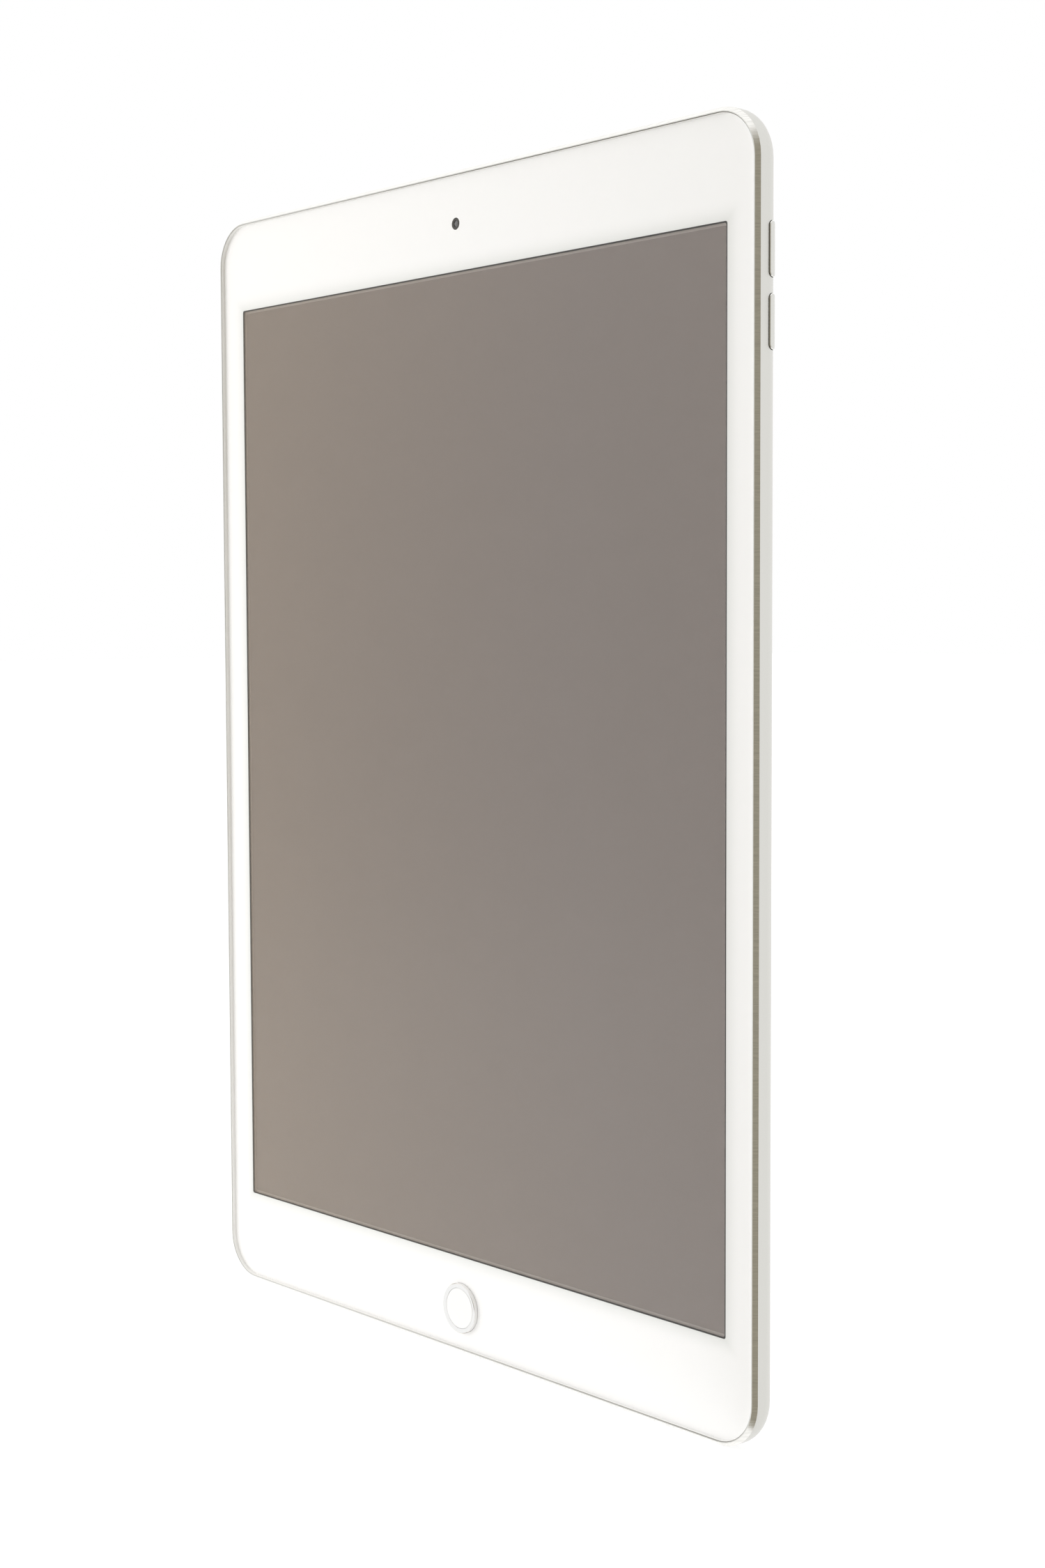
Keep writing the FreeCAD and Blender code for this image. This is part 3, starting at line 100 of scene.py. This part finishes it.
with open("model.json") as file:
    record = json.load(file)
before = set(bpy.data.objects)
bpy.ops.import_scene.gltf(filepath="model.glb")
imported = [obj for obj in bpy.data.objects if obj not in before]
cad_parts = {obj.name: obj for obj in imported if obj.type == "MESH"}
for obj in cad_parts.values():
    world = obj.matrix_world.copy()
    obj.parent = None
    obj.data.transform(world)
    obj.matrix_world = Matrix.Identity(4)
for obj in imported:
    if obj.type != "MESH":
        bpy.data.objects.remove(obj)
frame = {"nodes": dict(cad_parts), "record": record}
cad_low, cad_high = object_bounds()
nodes = frame["nodes"]


# ---- Shader building blocks ------------------------------------------------------------------

class Surface:
    """A material built around one Principled shader. Patterns are placed in object space, which
    is the frame of the model in metres."""

    def __init__(self, name, colour, roughness, metallic=0.0):
        self.material = bpy.data.materials.new(name)
        self.material.use_nodes = True
        self.tree = self.material.node_tree
        self.shader = self.tree.nodes["Principled BSDF"]
        self.output = self.tree.nodes["Material Output"]
        self.feed(self.shader, "Base Color", (*colour, 1.0))
        self.feed(self.shader, "Roughness", roughness)
        self.feed(self.shader, "Metallic", metallic)
        self.position = self.add("ShaderNodeTexCoord").outputs["Object"]

    def add(self, kind, **settings):
        """A new node with these properties."""
        node = self.tree.nodes.new(kind)
        for name, setting in settings.items():
            setattr(node, name, setting)
        return node

    def feed(self, node, socket, source):
        """Sets an input from an output, a number or a colour."""
        if isinstance(source, bpy.types.NodeSocket):
            self.tree.links.new(source, node.inputs[socket])
        else:
            node.inputs[socket].default_value = source

    def finish(self, **settings):
        """Sets plain shader inputs, such as Coat_Weight=0.5, and gives the material."""
        for name, setting in settings.items():
            self.feed(self.shader, name.replace("_", " "), setting)
        return self.material

    def stretched(self, x=1.0, y=1.0, z=1.0, source=None):
        """The position, squeezed along each axis: a high factor makes a pattern finer that way."""
        node = self.add("ShaderNodeMapping", vector_type="TEXTURE")
        self.feed(node, "Vector", source or self.position)
        self.feed(node, "Scale", (1 / x, 1 / y, 1 / z))
        return node.outputs["Vector"]

    def noise(self, size, detail=2.0, at=None):
        """Soft random patches about as wide as size, from 0 to 1."""
        node = self.add("ShaderNodeTexNoise")
        self.feed(node, "Vector", at or self.position)
        self.feed(node, "Scale", 1 / size)
        self.feed(node, "Detail", detail)
        return node.outputs["Fac"]

    def cells(self, size):
        """The distance to the nearest of scattered points that lie about size apart, in sizes."""
        node = self.add("ShaderNodeTexVoronoi")
        self.feed(node, "Vector", self.position)
        self.feed(node, "Scale", 1 / size)
        return node.outputs["Distance"]

    def stripes(self, pitch, axis, wobble=0.0):
        """Parallel ridges a pitch apart, counted along an axis."""
        node = self.add("ShaderNodeTexWave", wave_type="BANDS", bands_direction=axis)
        self.feed(node, "Vector", self.position)
        self.feed(node, "Scale", math.tau / WAVE_TURN / pitch)
        self.feed(node, "Distortion", wobble)
        return node.outputs["Fac"]

    def maths(self, operation, a, b=0.0):
        """A number worked out from two sources."""
        node = self.add("ShaderNodeMath", operation=operation)
        self.feed(node, 0, a)
        self.feed(node, 1, b)
        return node.outputs["Value"]

    def remap(self, source, low, high, to_low=0.0, to_high=1.0):
        """The source with low..high turned into to_low..to_high, and held there outside."""
        node = self.add("ShaderNodeMapRange")
        for socket, value in (
            ("Value", source), ("From Min", low), ("From Max", high),
            ("To Min", to_low), ("To Max", to_high),
        ):
            self.feed(node, socket, value)
        return node.outputs["Result"]

    def mix(self, share, first, second):
        """The first colour at share 0, turning into the second at share 1."""
        node = self.add("ShaderNodeMix", data_type="RGBA")
        for index, source in ((MIX_SHARE, share), (MIX_FIRST, first), (MIX_SECOND, second)):
            if isinstance(source, tuple):
                source = (*source, 1.0)
            self.feed(node, index, source)
        return node.outputs[MIX_RESULT]

    def tint(self, share, first, second):
        """Mixes two colours straight into the base colour."""
        self.feed(self.shader, "Base Color", self.mix(share, first, second))

    def roughen(self, share, low, high):
        """Lets the roughness run from low to high with a pattern from 0 to 1."""
        self.feed(self.shader, "Roughness", self.remap(share, 0.0, 1.0, low, high))

    def bump(self, height, depth):
        """Raises the surface by up to depth where the height pattern is 1."""
        node = self.add("ShaderNodeBump")
        self.feed(node, "Height", height)
        self.feed(node, "Distance", depth)
        self.feed(self.shader, "Normal", node.outputs["Normal"])


def circle_distance(surface, centre):
    """The distance from an axis that runs front to back through centre, as a pattern."""
    moved = surface.add("ShaderNodeVectorMath", operation="SUBTRACT")
    surface.feed(moved, 0, surface.position)
    surface.feed(moved, 1, centre)
    flat = surface.add("ShaderNodeVectorMath", operation="MULTIPLY")
    surface.feed(flat, 0, moved.outputs["Vector"])
    surface.feed(flat, 1, (1.0, 0.0, 1.0))
    length = surface.add("ShaderNodeVectorMath", operation="LENGTH")
    surface.feed(length, 0, flat.outputs["Vector"])
    return length.outputs["Value"]


def ripples(surface, radius, pitch):
    """Rings a pitch apart, from -1 to 1, around the axis that radius is measured from."""
    return surface.maths("SINE", surface.maths("MULTIPLY", radius, math.tau / pitch))


def middle(node):
    """The middle of a node's box."""
    low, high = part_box(node)
    return (low + high) / 2


# ---- Materials seen from outside -------------------------------------------------------------

def anodised_shell():
    """Bead-blasted aluminium under a clear anodised layer: a fine even grain, handled a little."""
    surface = Surface("anodised_shell", (0.625, 0.62, 0.59), 0.42, metallic=1.0)
    grain = surface.noise(0.16 * MM, detail=3.0)
    handling = surface.remap(surface.noise(34 * MM, detail=5.0), 0.3, 0.7)
    blotched = surface.mix(handling, (0.605, 0.60, 0.57), (0.645, 0.64, 0.61))
    surface.tint(surface.remap(grain, 0.35, 0.65, 0.0, 0.12), blotched, (0.45, 0.445, 0.42))
    surface.roughen(handling, 0.36, 0.48)
    surface.bump(grain, 0.004 * MM)
    return surface.finish()


def bevelled_metal():
    """Diamond-cut aluminium: bright, with fine slanting tool marks and a worn gloss."""
    surface = Surface("bevelled_metal", (0.78, 0.77, 0.74), 0.16, metallic=1.0)
    slanted = surface.add("ShaderNodeVectorRotate", rotation_type="AXIS_ANGLE")
    surface.feed(slanted, "Vector", surface.position)
    surface.feed(slanted, "Axis", TOOL_MARK_AXIS)
    surface.feed(slanted, "Angle", TOOL_MARK_SLANT)
    tool_marks = surface.noise(
        0.5 * MM, at=surface.stretched(0.15, 0.15, 2.2, source=slanted.outputs["Vector"])
    )
    wear = surface.noise(9 * MM, detail=4.0)
    surface.tint(surface.remap(tool_marks, 0.3, 0.7), (0.72, 0.71, 0.68), (0.84, 0.83, 0.80))
    surface.roughen(wear, 0.12, 0.20)
    surface.bump(tool_marks, 0.0006 * MM)
    return surface.finish()


def clear_pane(name, colour, shine_colours, gloss, head_on, back_share):
    """A clear sheet: light goes straight through it, and more of it mirrors at a slant, in a
    slightly different colour. Its back mirrors only a share of what its front does."""
    surface = Surface(name, colour, 0.0)
    facing = surface.add("ShaderNodeLayerWeight").outputs["Facing"]
    slant = surface.maths("POWER", facing, MIRROR_GROWTH)
    from_front = surface.remap(slant, 0.0, 1.0, head_on, 1.0)
    inside = surface.add("ShaderNodeNewGeometry").outputs["Backfacing"]
    face_share = surface.remap(inside, 0.0, 1.0, 1.0, back_share)
    mirror = surface.maths("MULTIPLY", from_front, face_share)
    through = surface.add("ShaderNodeBsdfTransparent")
    surface.feed(through, "Color", (*colour, 1.0))
    shine = surface.add("ShaderNodeBsdfGlossy")
    turned = surface.remap(facing, *MIRROR_TINT_TURNS)
    surface.feed(shine, "Color", surface.mix(turned, *shine_colours))
    smears = surface.noise(22 * MM, detail=4.0, at=surface.stretched(1.0, 1.0, 0.6))
    surface.feed(shine, "Roughness", surface.remap(smears, 0.35, 0.75, *gloss))
    pane = surface.add("ShaderNodeMixShader")
    surface.feed(pane, 0, mirror)
    surface.feed(pane, 1, through.outputs["BSDF"])
    surface.feed(pane, 2, shine.outputs["BSDF"])
    surface.tree.nodes.remove(surface.shader)
    surface.feed(surface.output, "Surface", pane.outputs["Shader"])
    return surface.material


def cover_glass():
    """Polished glass with the faintest smears."""
    return clear_pane(
        "cover_glass", (0.991, 0.993, 0.995), ((1.0, 0.945, 0.885), (1.0, 0.90, 0.76)),
        gloss=(0.0, 0.05), head_on=0.025, back_share=0.0,
    )


def clear_film():
    """The touch sensor's clear film, a little rougher than the glass."""
    return clear_pane(
        "clear_film", (0.985, 0.985, 0.98), ((1.0, 0.85, 0.76), (1.0, 0.81, 0.65)),
        gloss=(0.05, 0.12), head_on=0.074, back_share=1.0,
    )


def place_on_glass(surface):
    """How far right and how far up a point lies from the middle of the glass, as two patterns."""
    axes = surface.add("ShaderNodeSeparateXYZ")
    surface.feed(axes, "Vector", surface.position)
    height = surface.maths("SUBTRACT", axes.outputs["Z"], middle("cover_glass").z)
    return axes.outputs["X"], height


def opening_distance(surface):
    """How far a point of the border lies from the opening over the picture, as a pattern."""
    across, height = place_on_glass(surface)
    past_side = surface.maths("SUBTRACT", surface.maths("ABSOLUTE", across), OPENING_WIDTH / 2)
    past_end = surface.maths("SUBTRACT", surface.maths("ABSOLUTE", height), OPENING_HEIGHT / 2)
    return surface.maths("MAXIMUM", past_side, past_end)


def border_white():
    """White ink printed on the back of the glass: a slight mottle, and darker at the opening,
    partly as thinner print and partly as painted shade.
    """
    surface = Surface("border_white", (0.93, 0.925, 0.92), 0.45)
    mottle = surface.mix(
        surface.noise(1.2 * MM, detail=4.0), (0.92, 0.915, 0.91), (0.94, 0.935, 0.93)
    )
    # darker towards the opening: partly thinner print, partly painted shade beside the dark picture
    thinning_and_shade = surface.remap(opening_distance(surface), 0.0, THINNING_AND_SHADE_REACH, 1.0, 0.0)
    surface.tint(surface.maths("POWER", thinning_and_shade, 2.0), mottle, (0.77, 0.775, 0.755))
    surface.bump(surface.noise(0.2 * MM), 0.003 * MM)
    return surface.finish()


def border_black():
    """The black ink that backs the white one."""
    surface = Surface("border_black", (0.012, 0.012, 0.01), 0.6)
    surface.tint(surface.noise(1.0 * MM, detail=4.0), (0.010, 0.010, 0.008), (0.016, 0.015, 0.012))
    surface.bump(surface.noise(0.2 * MM), 0.003 * MM)
    return surface.finish()


def edge_gasket():
    """Soft white sealing strip between the glass and its frame."""
    surface = Surface("edge_gasket", (0.93, 0.93, 0.92), 0.7)
    surface.tint(surface.noise(0.8 * MM, detail=4.0), (0.92, 0.92, 0.91), (0.94, 0.94, 0.93))
    surface.bump(surface.noise(0.15 * MM), 0.01 * MM)
    return surface.finish()


def gasket_front():
    """The strip's outer edge: light at the lower left, with painted shade in its groove at the top
    right.
    """
    surface = Surface("gasket_front", (0.50, 0.49, 0.47), 0.8)
    across, height = place_on_glass(surface)
    # painted shade: the front darkens to the right and upwards, standing in for the shadow in the
    # groove
    uphill = surface.maths("ADD", across, surface.maths("MULTIPLY", height, SHADE_CLIMB))
    patches = surface.maths("MULTIPLY", surface.noise(12 * MM, detail=4.0), SHADE_PATCHINESS)
    painted_shade = surface.remap(surface.maths("ADD", uphill, patches), cad_low.x, cad_high.x)
    surface.tint(painted_shade, (0.88, 0.88, 0.87), (0.16, 0.15, 0.13))
    surface.bump(surface.noise(0.15 * MM), 0.01 * MM)
    return surface.finish()


def screen_glass():
    """The switched-off picture: a dark cell whose polarizer has a satin haze and a few specks."""
    surface = Surface("screen_glass", (0.05, 0.045, 0.045), 0.3)
    clouds = surface.noise(70 * MM, detail=2.0)
    haze = surface.mix(clouds, (0.045, 0.040, 0.042), (0.055, 0.050, 0.050))
    specks = surface.remap(surface.cells(SPECK_SPACING), SPECK_CORE, SPECK_EDGE, 1.0, 0.0)
    surface.tint(specks, haze, (0.45, 0.44, 0.42))
    surface.roughen(surface.noise(6 * MM, detail=3.0), 0.32, 0.38)
    return surface.finish(Specular_IOR_Level=0.5)


def screen_border():
    """The edge of the display cell, outside the polarizer."""
    surface = Surface("screen_border", (0.33, 0.32, 0.31), 0.3)
    surface.tint(surface.noise(1.5 * MM, detail=3.0), (0.32, 0.31, 0.30), (0.35, 0.34, 0.33))
    surface.bump(surface.noise(0.3 * MM), 0.001 * MM)
    return surface.finish()


def home_cap_white():
    """The home button's gloss cover: white under a hard clear coat."""
    surface = Surface("home_cap_white", (0.82, 0.82, 0.81), 0.25)
    surface.tint(surface.noise(0.8 * MM, detail=3.0), (0.81, 0.81, 0.80), (0.83, 0.83, 0.82))
    surface.bump(surface.noise(0.3 * MM), 0.0008 * MM)
    return surface.finish(Coat_Weight=1.0, Coat_Roughness=0.03)


def home_ring_metal():
    """A turned and polished steel ring, with the lathe's fine circles."""
    surface = Surface("home_ring_metal", (0.74, 0.74, 0.73), 0.2, metallic=1.0)
    radius = circle_distance(surface, middle("home_button_ring"))
    circles = ripples(surface, radius, LATHE_PITCH)
    surface.roughen(surface.noise(2 * MM, detail=3.0), 0.14, 0.24)
    surface.bump(circles, 0.0004 * MM)
    return surface.finish()


def lens_glass():
    """A coated lens: violet head on and green at a slant, over the dark rings of its barrel."""
    surface = Surface("lens_glass", (0.02, 0.02, 0.03), 0.03)
    facing = surface.add("ShaderNodeLayerWeight").outputs["Facing"]
    coating = surface.mix(facing, (0.030, 0.022, 0.050), (0.012, 0.035, 0.030))
    radius = surface.maths(
        "MINIMUM",
        circle_distance(surface, middle("front_camera_lens")),
        circle_distance(surface, middle("rear_camera_lens")),
    )
    rings = ripples(surface, radius, BARREL_RING_PITCH)
    surface.tint(surface.remap(rings, -0.4, 0.4), coating, (0.004, 0.004, 0.006))
    surface.roughen(surface.noise(2 * MM, detail=3.0), 0.02, 0.06)
    return surface.finish(Specular_IOR_Level=0.6, Coat_Weight=1.0, Coat_Roughness=0.02)


def fine_mesh():
    """Woven acoustic mesh behind the speaker holes."""
    surface = Surface("fine_mesh", (0.07, 0.07, 0.07), 0.6)
    weave = surface.maths(
        "MULTIPLY", surface.stripes(0.12 * MM, "X"), surface.stripes(0.12 * MM, "Y")
    )
    surface.tint(weave, (0.02, 0.02, 0.02), (0.14, 0.14, 0.14))
    surface.bump(weave, 0.03 * MM)
    return surface.finish()


def socket_plastic():
    """Moulded plastic with a fine spark-eroded texture."""
    surface = Surface("socket_plastic", (0.14, 0.14, 0.14), 0.5)
    surface.tint(surface.noise(0.6 * MM, detail=3.0), (0.12, 0.12, 0.12), (0.17, 0.17, 0.17))
    surface.bump(surface.noise(0.08 * MM), 0.006 * MM)
    return surface.finish()


def gold_contact():
    """Gold-plated contacts, lightly rubbed."""
    surface = Surface("gold_contact", (0.83, 0.68, 0.38), 0.25, metallic=1.0)
    rubbed = surface.noise(0.3 * MM, detail=4.0)
    surface.tint(rubbed, (0.80, 0.64, 0.34), (0.88, 0.75, 0.48))
    surface.roughen(rubbed, 0.18, 0.36)
    return surface.finish()


# ---- Materials inside ------------------------------------------------------------------------

def black_foam():
    """Open-cell foam strip."""
    surface = Surface("black_foam", (0.04, 0.04, 0.04), 0.95)
    pores = surface.cells(0.18 * MM)
    surface.tint(pores, (0.02, 0.02, 0.02), (0.07, 0.07, 0.07))
    surface.bump(pores, 0.05 * MM)
    return surface.finish()


def glue():
    """Milky adhesive tape."""
    surface = Surface("glue", (0.70, 0.70, 0.66), 0.4)
    surface.tint(surface.noise(3 * MM, detail=4.0), (0.64, 0.64, 0.60), (0.76, 0.76, 0.72))
    surface.bump(surface.noise(0.6 * MM), 0.01 * MM)
    return surface.finish()


def light_guide():
    """The backlight's white diffuser with its rows of printed dots."""
    surface = Surface("light_guide", (0.88, 0.88, 0.86), 0.4)
    dots = surface.maths(
        "MULTIPLY", surface.stripes(0.6 * MM, "X"), surface.stripes(0.6 * MM, "Z")
    )
    surface.tint(surface.remap(dots, 0.5, 0.7), (0.86, 0.86, 0.84), (0.95, 0.95, 0.94))
    surface.bump(dots, 0.004 * MM)
    return surface.finish()


def steel_sheet():
    """Cold-rolled steel sheet with its rolling lines."""
    surface = Surface("steel_sheet", (0.60, 0.60, 0.59), 0.35, metallic=1.0)
    rolling = surface.noise(1.0 * MM, detail=3.0, at=surface.stretched(10.0, 10.0, 0.3))
    surface.tint(rolling, (0.54, 0.54, 0.53), (0.66, 0.66, 0.65))
    surface.roughen(rolling, 0.28, 0.42)
    surface.bump(rolling, 0.002 * MM)
    return surface.finish()


def sensor_chip():
    """The fingerprint sensor's moulded body."""
    surface = Surface("sensor_chip", (0.06, 0.06, 0.065), 0.45)
    surface.tint(surface.noise(0.5 * MM, detail=4.0), (0.05, 0.05, 0.055), (0.08, 0.08, 0.085))
    surface.bump(surface.noise(0.06 * MM), 0.004 * MM)
    return surface.finish()


def battery_pouch():
    """A battery cell's foil under black film, with shallow wrinkles."""
    surface = Surface("battery_pouch", (0.10, 0.10, 0.105), 0.38, metallic=0.3)
    wrinkles = surface.noise(14 * MM, detail=5.0)
    surface.tint(wrinkles, (0.08, 0.08, 0.085), (0.13, 0.13, 0.135))
    surface.roughen(wrinkles, 0.30, 0.48)
    surface.bump(wrinkles, 0.12 * MM)
    return surface.finish()


def circuit_board():
    """Green solder mask over rows of copper tracks."""
    surface = Surface("circuit_board", (0.03, 0.13, 0.07), 0.35)
    tracks = surface.maths(
        "MAXIMUM",
        surface.remap(surface.stripes(0.9 * MM, "X", wobble=2.0), 0.6, 0.7),
        surface.remap(surface.stripes(1.3 * MM, "Z", wobble=2.0), 0.7, 0.8),
    )
    surface.tint(tracks, (0.015, 0.085, 0.045), (0.04, 0.19, 0.10))
    surface.bump(tracks, 0.02 * MM)
    return surface.finish(Coat_Weight=0.4, Coat_Roughness=0.2)


def chip_black():
    """Moulded epoxy with a fine matt grain."""
    surface = Surface("chip_black", (0.04, 0.04, 0.043), 0.6)
    surface.tint(surface.noise(0.5 * MM, detail=4.0), (0.033, 0.033, 0.036), (0.055, 0.055, 0.06))
    surface.bump(surface.noise(0.07 * MM), 0.006 * MM)
    return surface.finish()


def ribbon_flex():
    """Amber film with copper tracks along it."""
    surface = Surface("ribbon_flex", (0.35, 0.18, 0.06), 0.35)
    tracks = surface.remap(surface.stripes(0.5 * MM, "X"), 0.35, 0.5)
    surface.tint(tracks, (0.30, 0.14, 0.04), (0.50, 0.27, 0.11))
    surface.bump(tracks, 0.01 * MM)
    return surface.finish(Coat_Weight=0.5, Coat_Roughness=0.15)


def camera_body():
    """Matt black moulded camera housing."""
    surface = Surface("camera_body", (0.03, 0.03, 0.033), 0.55)
    surface.tint(surface.noise(0.8 * MM, detail=4.0), (0.024, 0.024, 0.027), (0.045, 0.045, 0.05))
    surface.bump(surface.noise(0.09 * MM), 0.005 * MM)
    return surface.finish()


def speaker_case():
    """Black moulded speaker box with a slight sheen of flow lines."""
    surface = Surface("speaker_case", (0.05, 0.05, 0.05), 0.5)
    flow = surface.noise(4 * MM, detail=4.0, at=surface.stretched(0.4, 1.0, 1.5))
    surface.tint(flow, (0.04, 0.04, 0.04), (0.07, 0.07, 0.07))
    surface.roughen(flow, 0.42, 0.58)
    surface.bump(surface.noise(0.1 * MM), 0.006 * MM)
    return surface.finish()


def magnet_nickel():
    """Nickel-plated magnets."""
    surface = Surface("magnet_nickel", (0.60, 0.58, 0.54), 0.22, metallic=1.0)
    plating = surface.noise(1.2 * MM, detail=4.0)
    surface.tint(plating, (0.56, 0.54, 0.50), (0.65, 0.63, 0.59))
    surface.roughen(plating, 0.16, 0.30)
    return surface.finish()


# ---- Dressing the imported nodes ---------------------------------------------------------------

MATERIAL_MAKERS = (
    anodised_shell, bevelled_metal, cover_glass, border_white, border_black, clear_film,
    edge_gasket, black_foam, glue, screen_glass, screen_border, light_guide, steel_sheet,
    home_cap_white, home_ring_metal, sensor_chip, battery_pouch, circuit_board, chip_black,
    ribbon_flex, camera_body, lens_glass, speaker_case, fine_mesh, socket_plastic,
    magnet_nickel, gold_contact,
)


def dress_nodes():
    """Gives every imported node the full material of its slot, and returns them by slot name."""
    made = {}
    for maker in MATERIAL_MAKERS:
        for old in [m for m in bpy.data.materials if m.name == maker.__name__]:
            old.name = maker.__name__ + ".packed"
        made[maker.__name__] = maker()
    for part in frame["record"]["subparts"]:
        mesh = nodes[part["node"]].data
        mesh.materials.clear()
        mesh.materials.append(made[part["material_slot"]])
    return made


def repaint(node, material, chosen):
    """Gives some faces of a node a second material: those for which chosen(face) is true."""
    mesh = nodes[node].data
    mesh.materials.append(material)
    for face in mesh.polygons:
        if chosen(face):
            face.material_index = 1


def on_rim_bevel(face):
    """Whether a face of the housing belongs to the slanted cut around its front."""
    steepest, flattest = BEVEL_NORMAL_Y
    slanted = steepest < face.normal.y < flattest
    return slanted and face.center.y < cad_low.y + BEVEL_DEPTH


def finish_faces(made):
    """Gives the faces that are worked differently from the rest of their piece their own finish."""
    repaint("rear_housing", made["bevelled_metal"], on_rim_bevel)
    repaint("glass_gasket", gasket_front(), lambda face: face.normal.y < FACING_FRONT)
    repaint("home_button_ring", made["border_white"], lambda face: abs(face.normal.y) < SIDEWAYS)
    for button in ("volume_up_button", "volume_down_button"):
        repaint(button, made["anodised_shell"], lambda face: face.normal.x > OUTWARD)
    repaint("power_button", made["anodised_shell"], lambda face: face.normal.z > OUTWARD)


# ---- Studio ----------------------------------------------------------------------------------

def room_glow(tree, direction):
    """The light the studio sends from a direction: white all round, but dim behind the camera."""
    towards = tree.nodes.new("ShaderNodeVectorMath")
    towards.operation = "DOT_PRODUCT"
    tree.links.new(direction, towards.inputs[0])
    towards.inputs[1].default_value = camera_back()
    fall = tree.nodes.new("ShaderNodeMapRange")
    fall.interpolation_type = "SMOOTHSTEP"
    tree.links.new(towards.outputs["Value"], fall.inputs["Value"])
    fall.inputs["From Min"].default_value = DIM_EDGE
    fall.inputs["From Max"].default_value = DIM_CORE
    glow = tree.nodes.new("ShaderNodeMix")
    glow.data_type = "RGBA"
    tree.links.new(fall.outputs["Result"], glow.inputs[MIX_SHARE])
    glow.inputs[MIX_FIRST].default_value = (*ROOM_LIGHT, 1.0)
    glow.inputs[MIX_SECOND].default_value = (*ROOM_DARK, 1.0)
    return glow.outputs[MIX_RESULT]


def light_world():
    """White surroundings to the eye, and the room's soft glow for what falls on the tablet."""
    world = bpy.data.worlds.new("studio")
    bpy.context.scene.world = world
    world.use_nodes = True
    tree = world.node_tree
    seen = tree.nodes["Background"]
    seen.inputs["Color"].default_value = WHITE
    felt = tree.nodes.new("ShaderNodeBackground")
    direction = tree.nodes.new("ShaderNodeTexCoord").outputs["Generated"]
    tree.links.new(room_glow(tree, direction), felt.inputs["Color"])
    choice = tree.nodes.new("ShaderNodeMixShader")
    path = tree.nodes.new("ShaderNodeLightPath")
    tree.links.new(path.outputs["Is Camera Ray"], choice.inputs["Fac"])
    tree.links.new(felt.outputs["Background"], choice.inputs[1])
    tree.links.new(seen.outputs["Background"], choice.inputs[2])
    tree.links.new(choice.outputs["Shader"], tree.nodes["World Output"].inputs["Surface"])


def hang_lamp():
    """A square soft box on the left, which lights the white print but isn't mirrored in the glass."""
    data = bpy.data.lights.new("left_box", "AREA")
    data.size = LAMP_SIZE
    data.energy = LAMP_WATTS
    lamp = bpy.data.objects.new("left_box", data)
    bpy.context.scene.collection.objects.link(lamp)
    lamp.location = LAMP_PLACE
    lamp.visible_glossy = False
    beam = Vector(LAMP_AIM) - Vector(LAMP_PLACE)
    lamp.rotation_euler = beam.to_track_quat("-Z", "Y").to_euler()


def paper_floor():
    """A white light table: bright enough to melt into the surroundings, with a faint shadow."""
    surface = Surface("white_paper", (0.30, 0.30, 0.30), 0.9)
    surface.tint(surface.noise(3 * MM), (0.29, 0.29, 0.29), (0.31, 0.31, 0.31))
    surface.feed(surface.shader, "Emission Color", WHITE)
    surface.feed(surface.shader, "Emission Strength", FLOOR_GLOW)
    felt = surface.add("ShaderNodeEmission")
    from_edge = surface.add("ShaderNodeVectorMath", operation="SUBTRACT")
    surface.feed(from_edge, 0, surface.position)
    surface.feed(from_edge, 1, (cad_high.x, 0.0, 0.0))
    direction = surface.add("ShaderNodeVectorMath", operation="NORMALIZE")
    surface.feed(direction, 0, from_edge.outputs["Vector"])
    surface.feed(felt, "Color", room_glow(surface.tree, direction.outputs["Vector"]))
    choice = surface.add("ShaderNodeMixShader")
    surface.feed(choice, 0, surface.add("ShaderNodeLightPath").outputs["Is Camera Ray"])
    surface.feed(choice, 1, felt.outputs["Emission"])
    surface.feed(choice, 2, surface.shader.outputs["BSDF"])
    surface.feed(surface.output, "Surface", choice.outputs["Shader"])
    return surface.finish(Specular_IOR_Level=0.0)


def lay_floor():
    """A wide sheet of paper that the tablet stands on."""
    mesh = bpy.data.meshes.new("floor")
    signs = ((-1, -1), (1, -1), (1, 1), (-1, 1))
    corners = [(x * FLOOR_REACH, y * FLOOR_REACH, cad_low.z - FLOOR_DROP) for x, y in signs]
    mesh.from_pydata(corners, [], [(0, 1, 2, 3)])
    mesh.materials.append(paper_floor())
    floor = bpy.data.objects.new("floor", mesh)
    bpy.context.scene.collection.objects.link(floor)


def camera_back():
    """The unit vector from the scene towards the camera."""
    return Vector((
        math.sin(CAMERA_AZIMUTH) * math.cos(CAMERA_ELEVATION),
        -math.cos(CAMERA_AZIMUTH) * math.cos(CAMERA_ELEVATION),
        math.sin(CAMERA_ELEVATION),
    ))


def place_camera():
    """The photograph's view: a little above the middle, to the right of the screen."""
    back = camera_back()
    right = Vector((0, 0, 1)).cross(back).normalized()
    up = back.cross(right)
    turned_right = right * math.cos(CAMERA_ROLL) + up * math.sin(CAMERA_ROLL)
    turned_up = back.cross(turned_right)
    data = bpy.data.cameras.new("camera")
    data.lens = CAMERA_LENS_MM
    data.sensor_width = FILM_MM
    data.clip_start = CAMERA_NEAREST
    camera = bpy.data.objects.new("camera", data)
    bpy.context.scene.collection.objects.link(camera)
    axes = Matrix((turned_right, turned_up, back)).transposed()
    camera.matrix_world = Matrix.Translation(CAMERA_PLACE) @ axes.to_4x4()
    bpy.context.scene.camera = camera


materials = dress_nodes()
finish_faces(materials)
light_world()
hang_lamp()
lay_floor()
place_camera()
bpy.context.scene.view_settings.view_transform = "Standard"
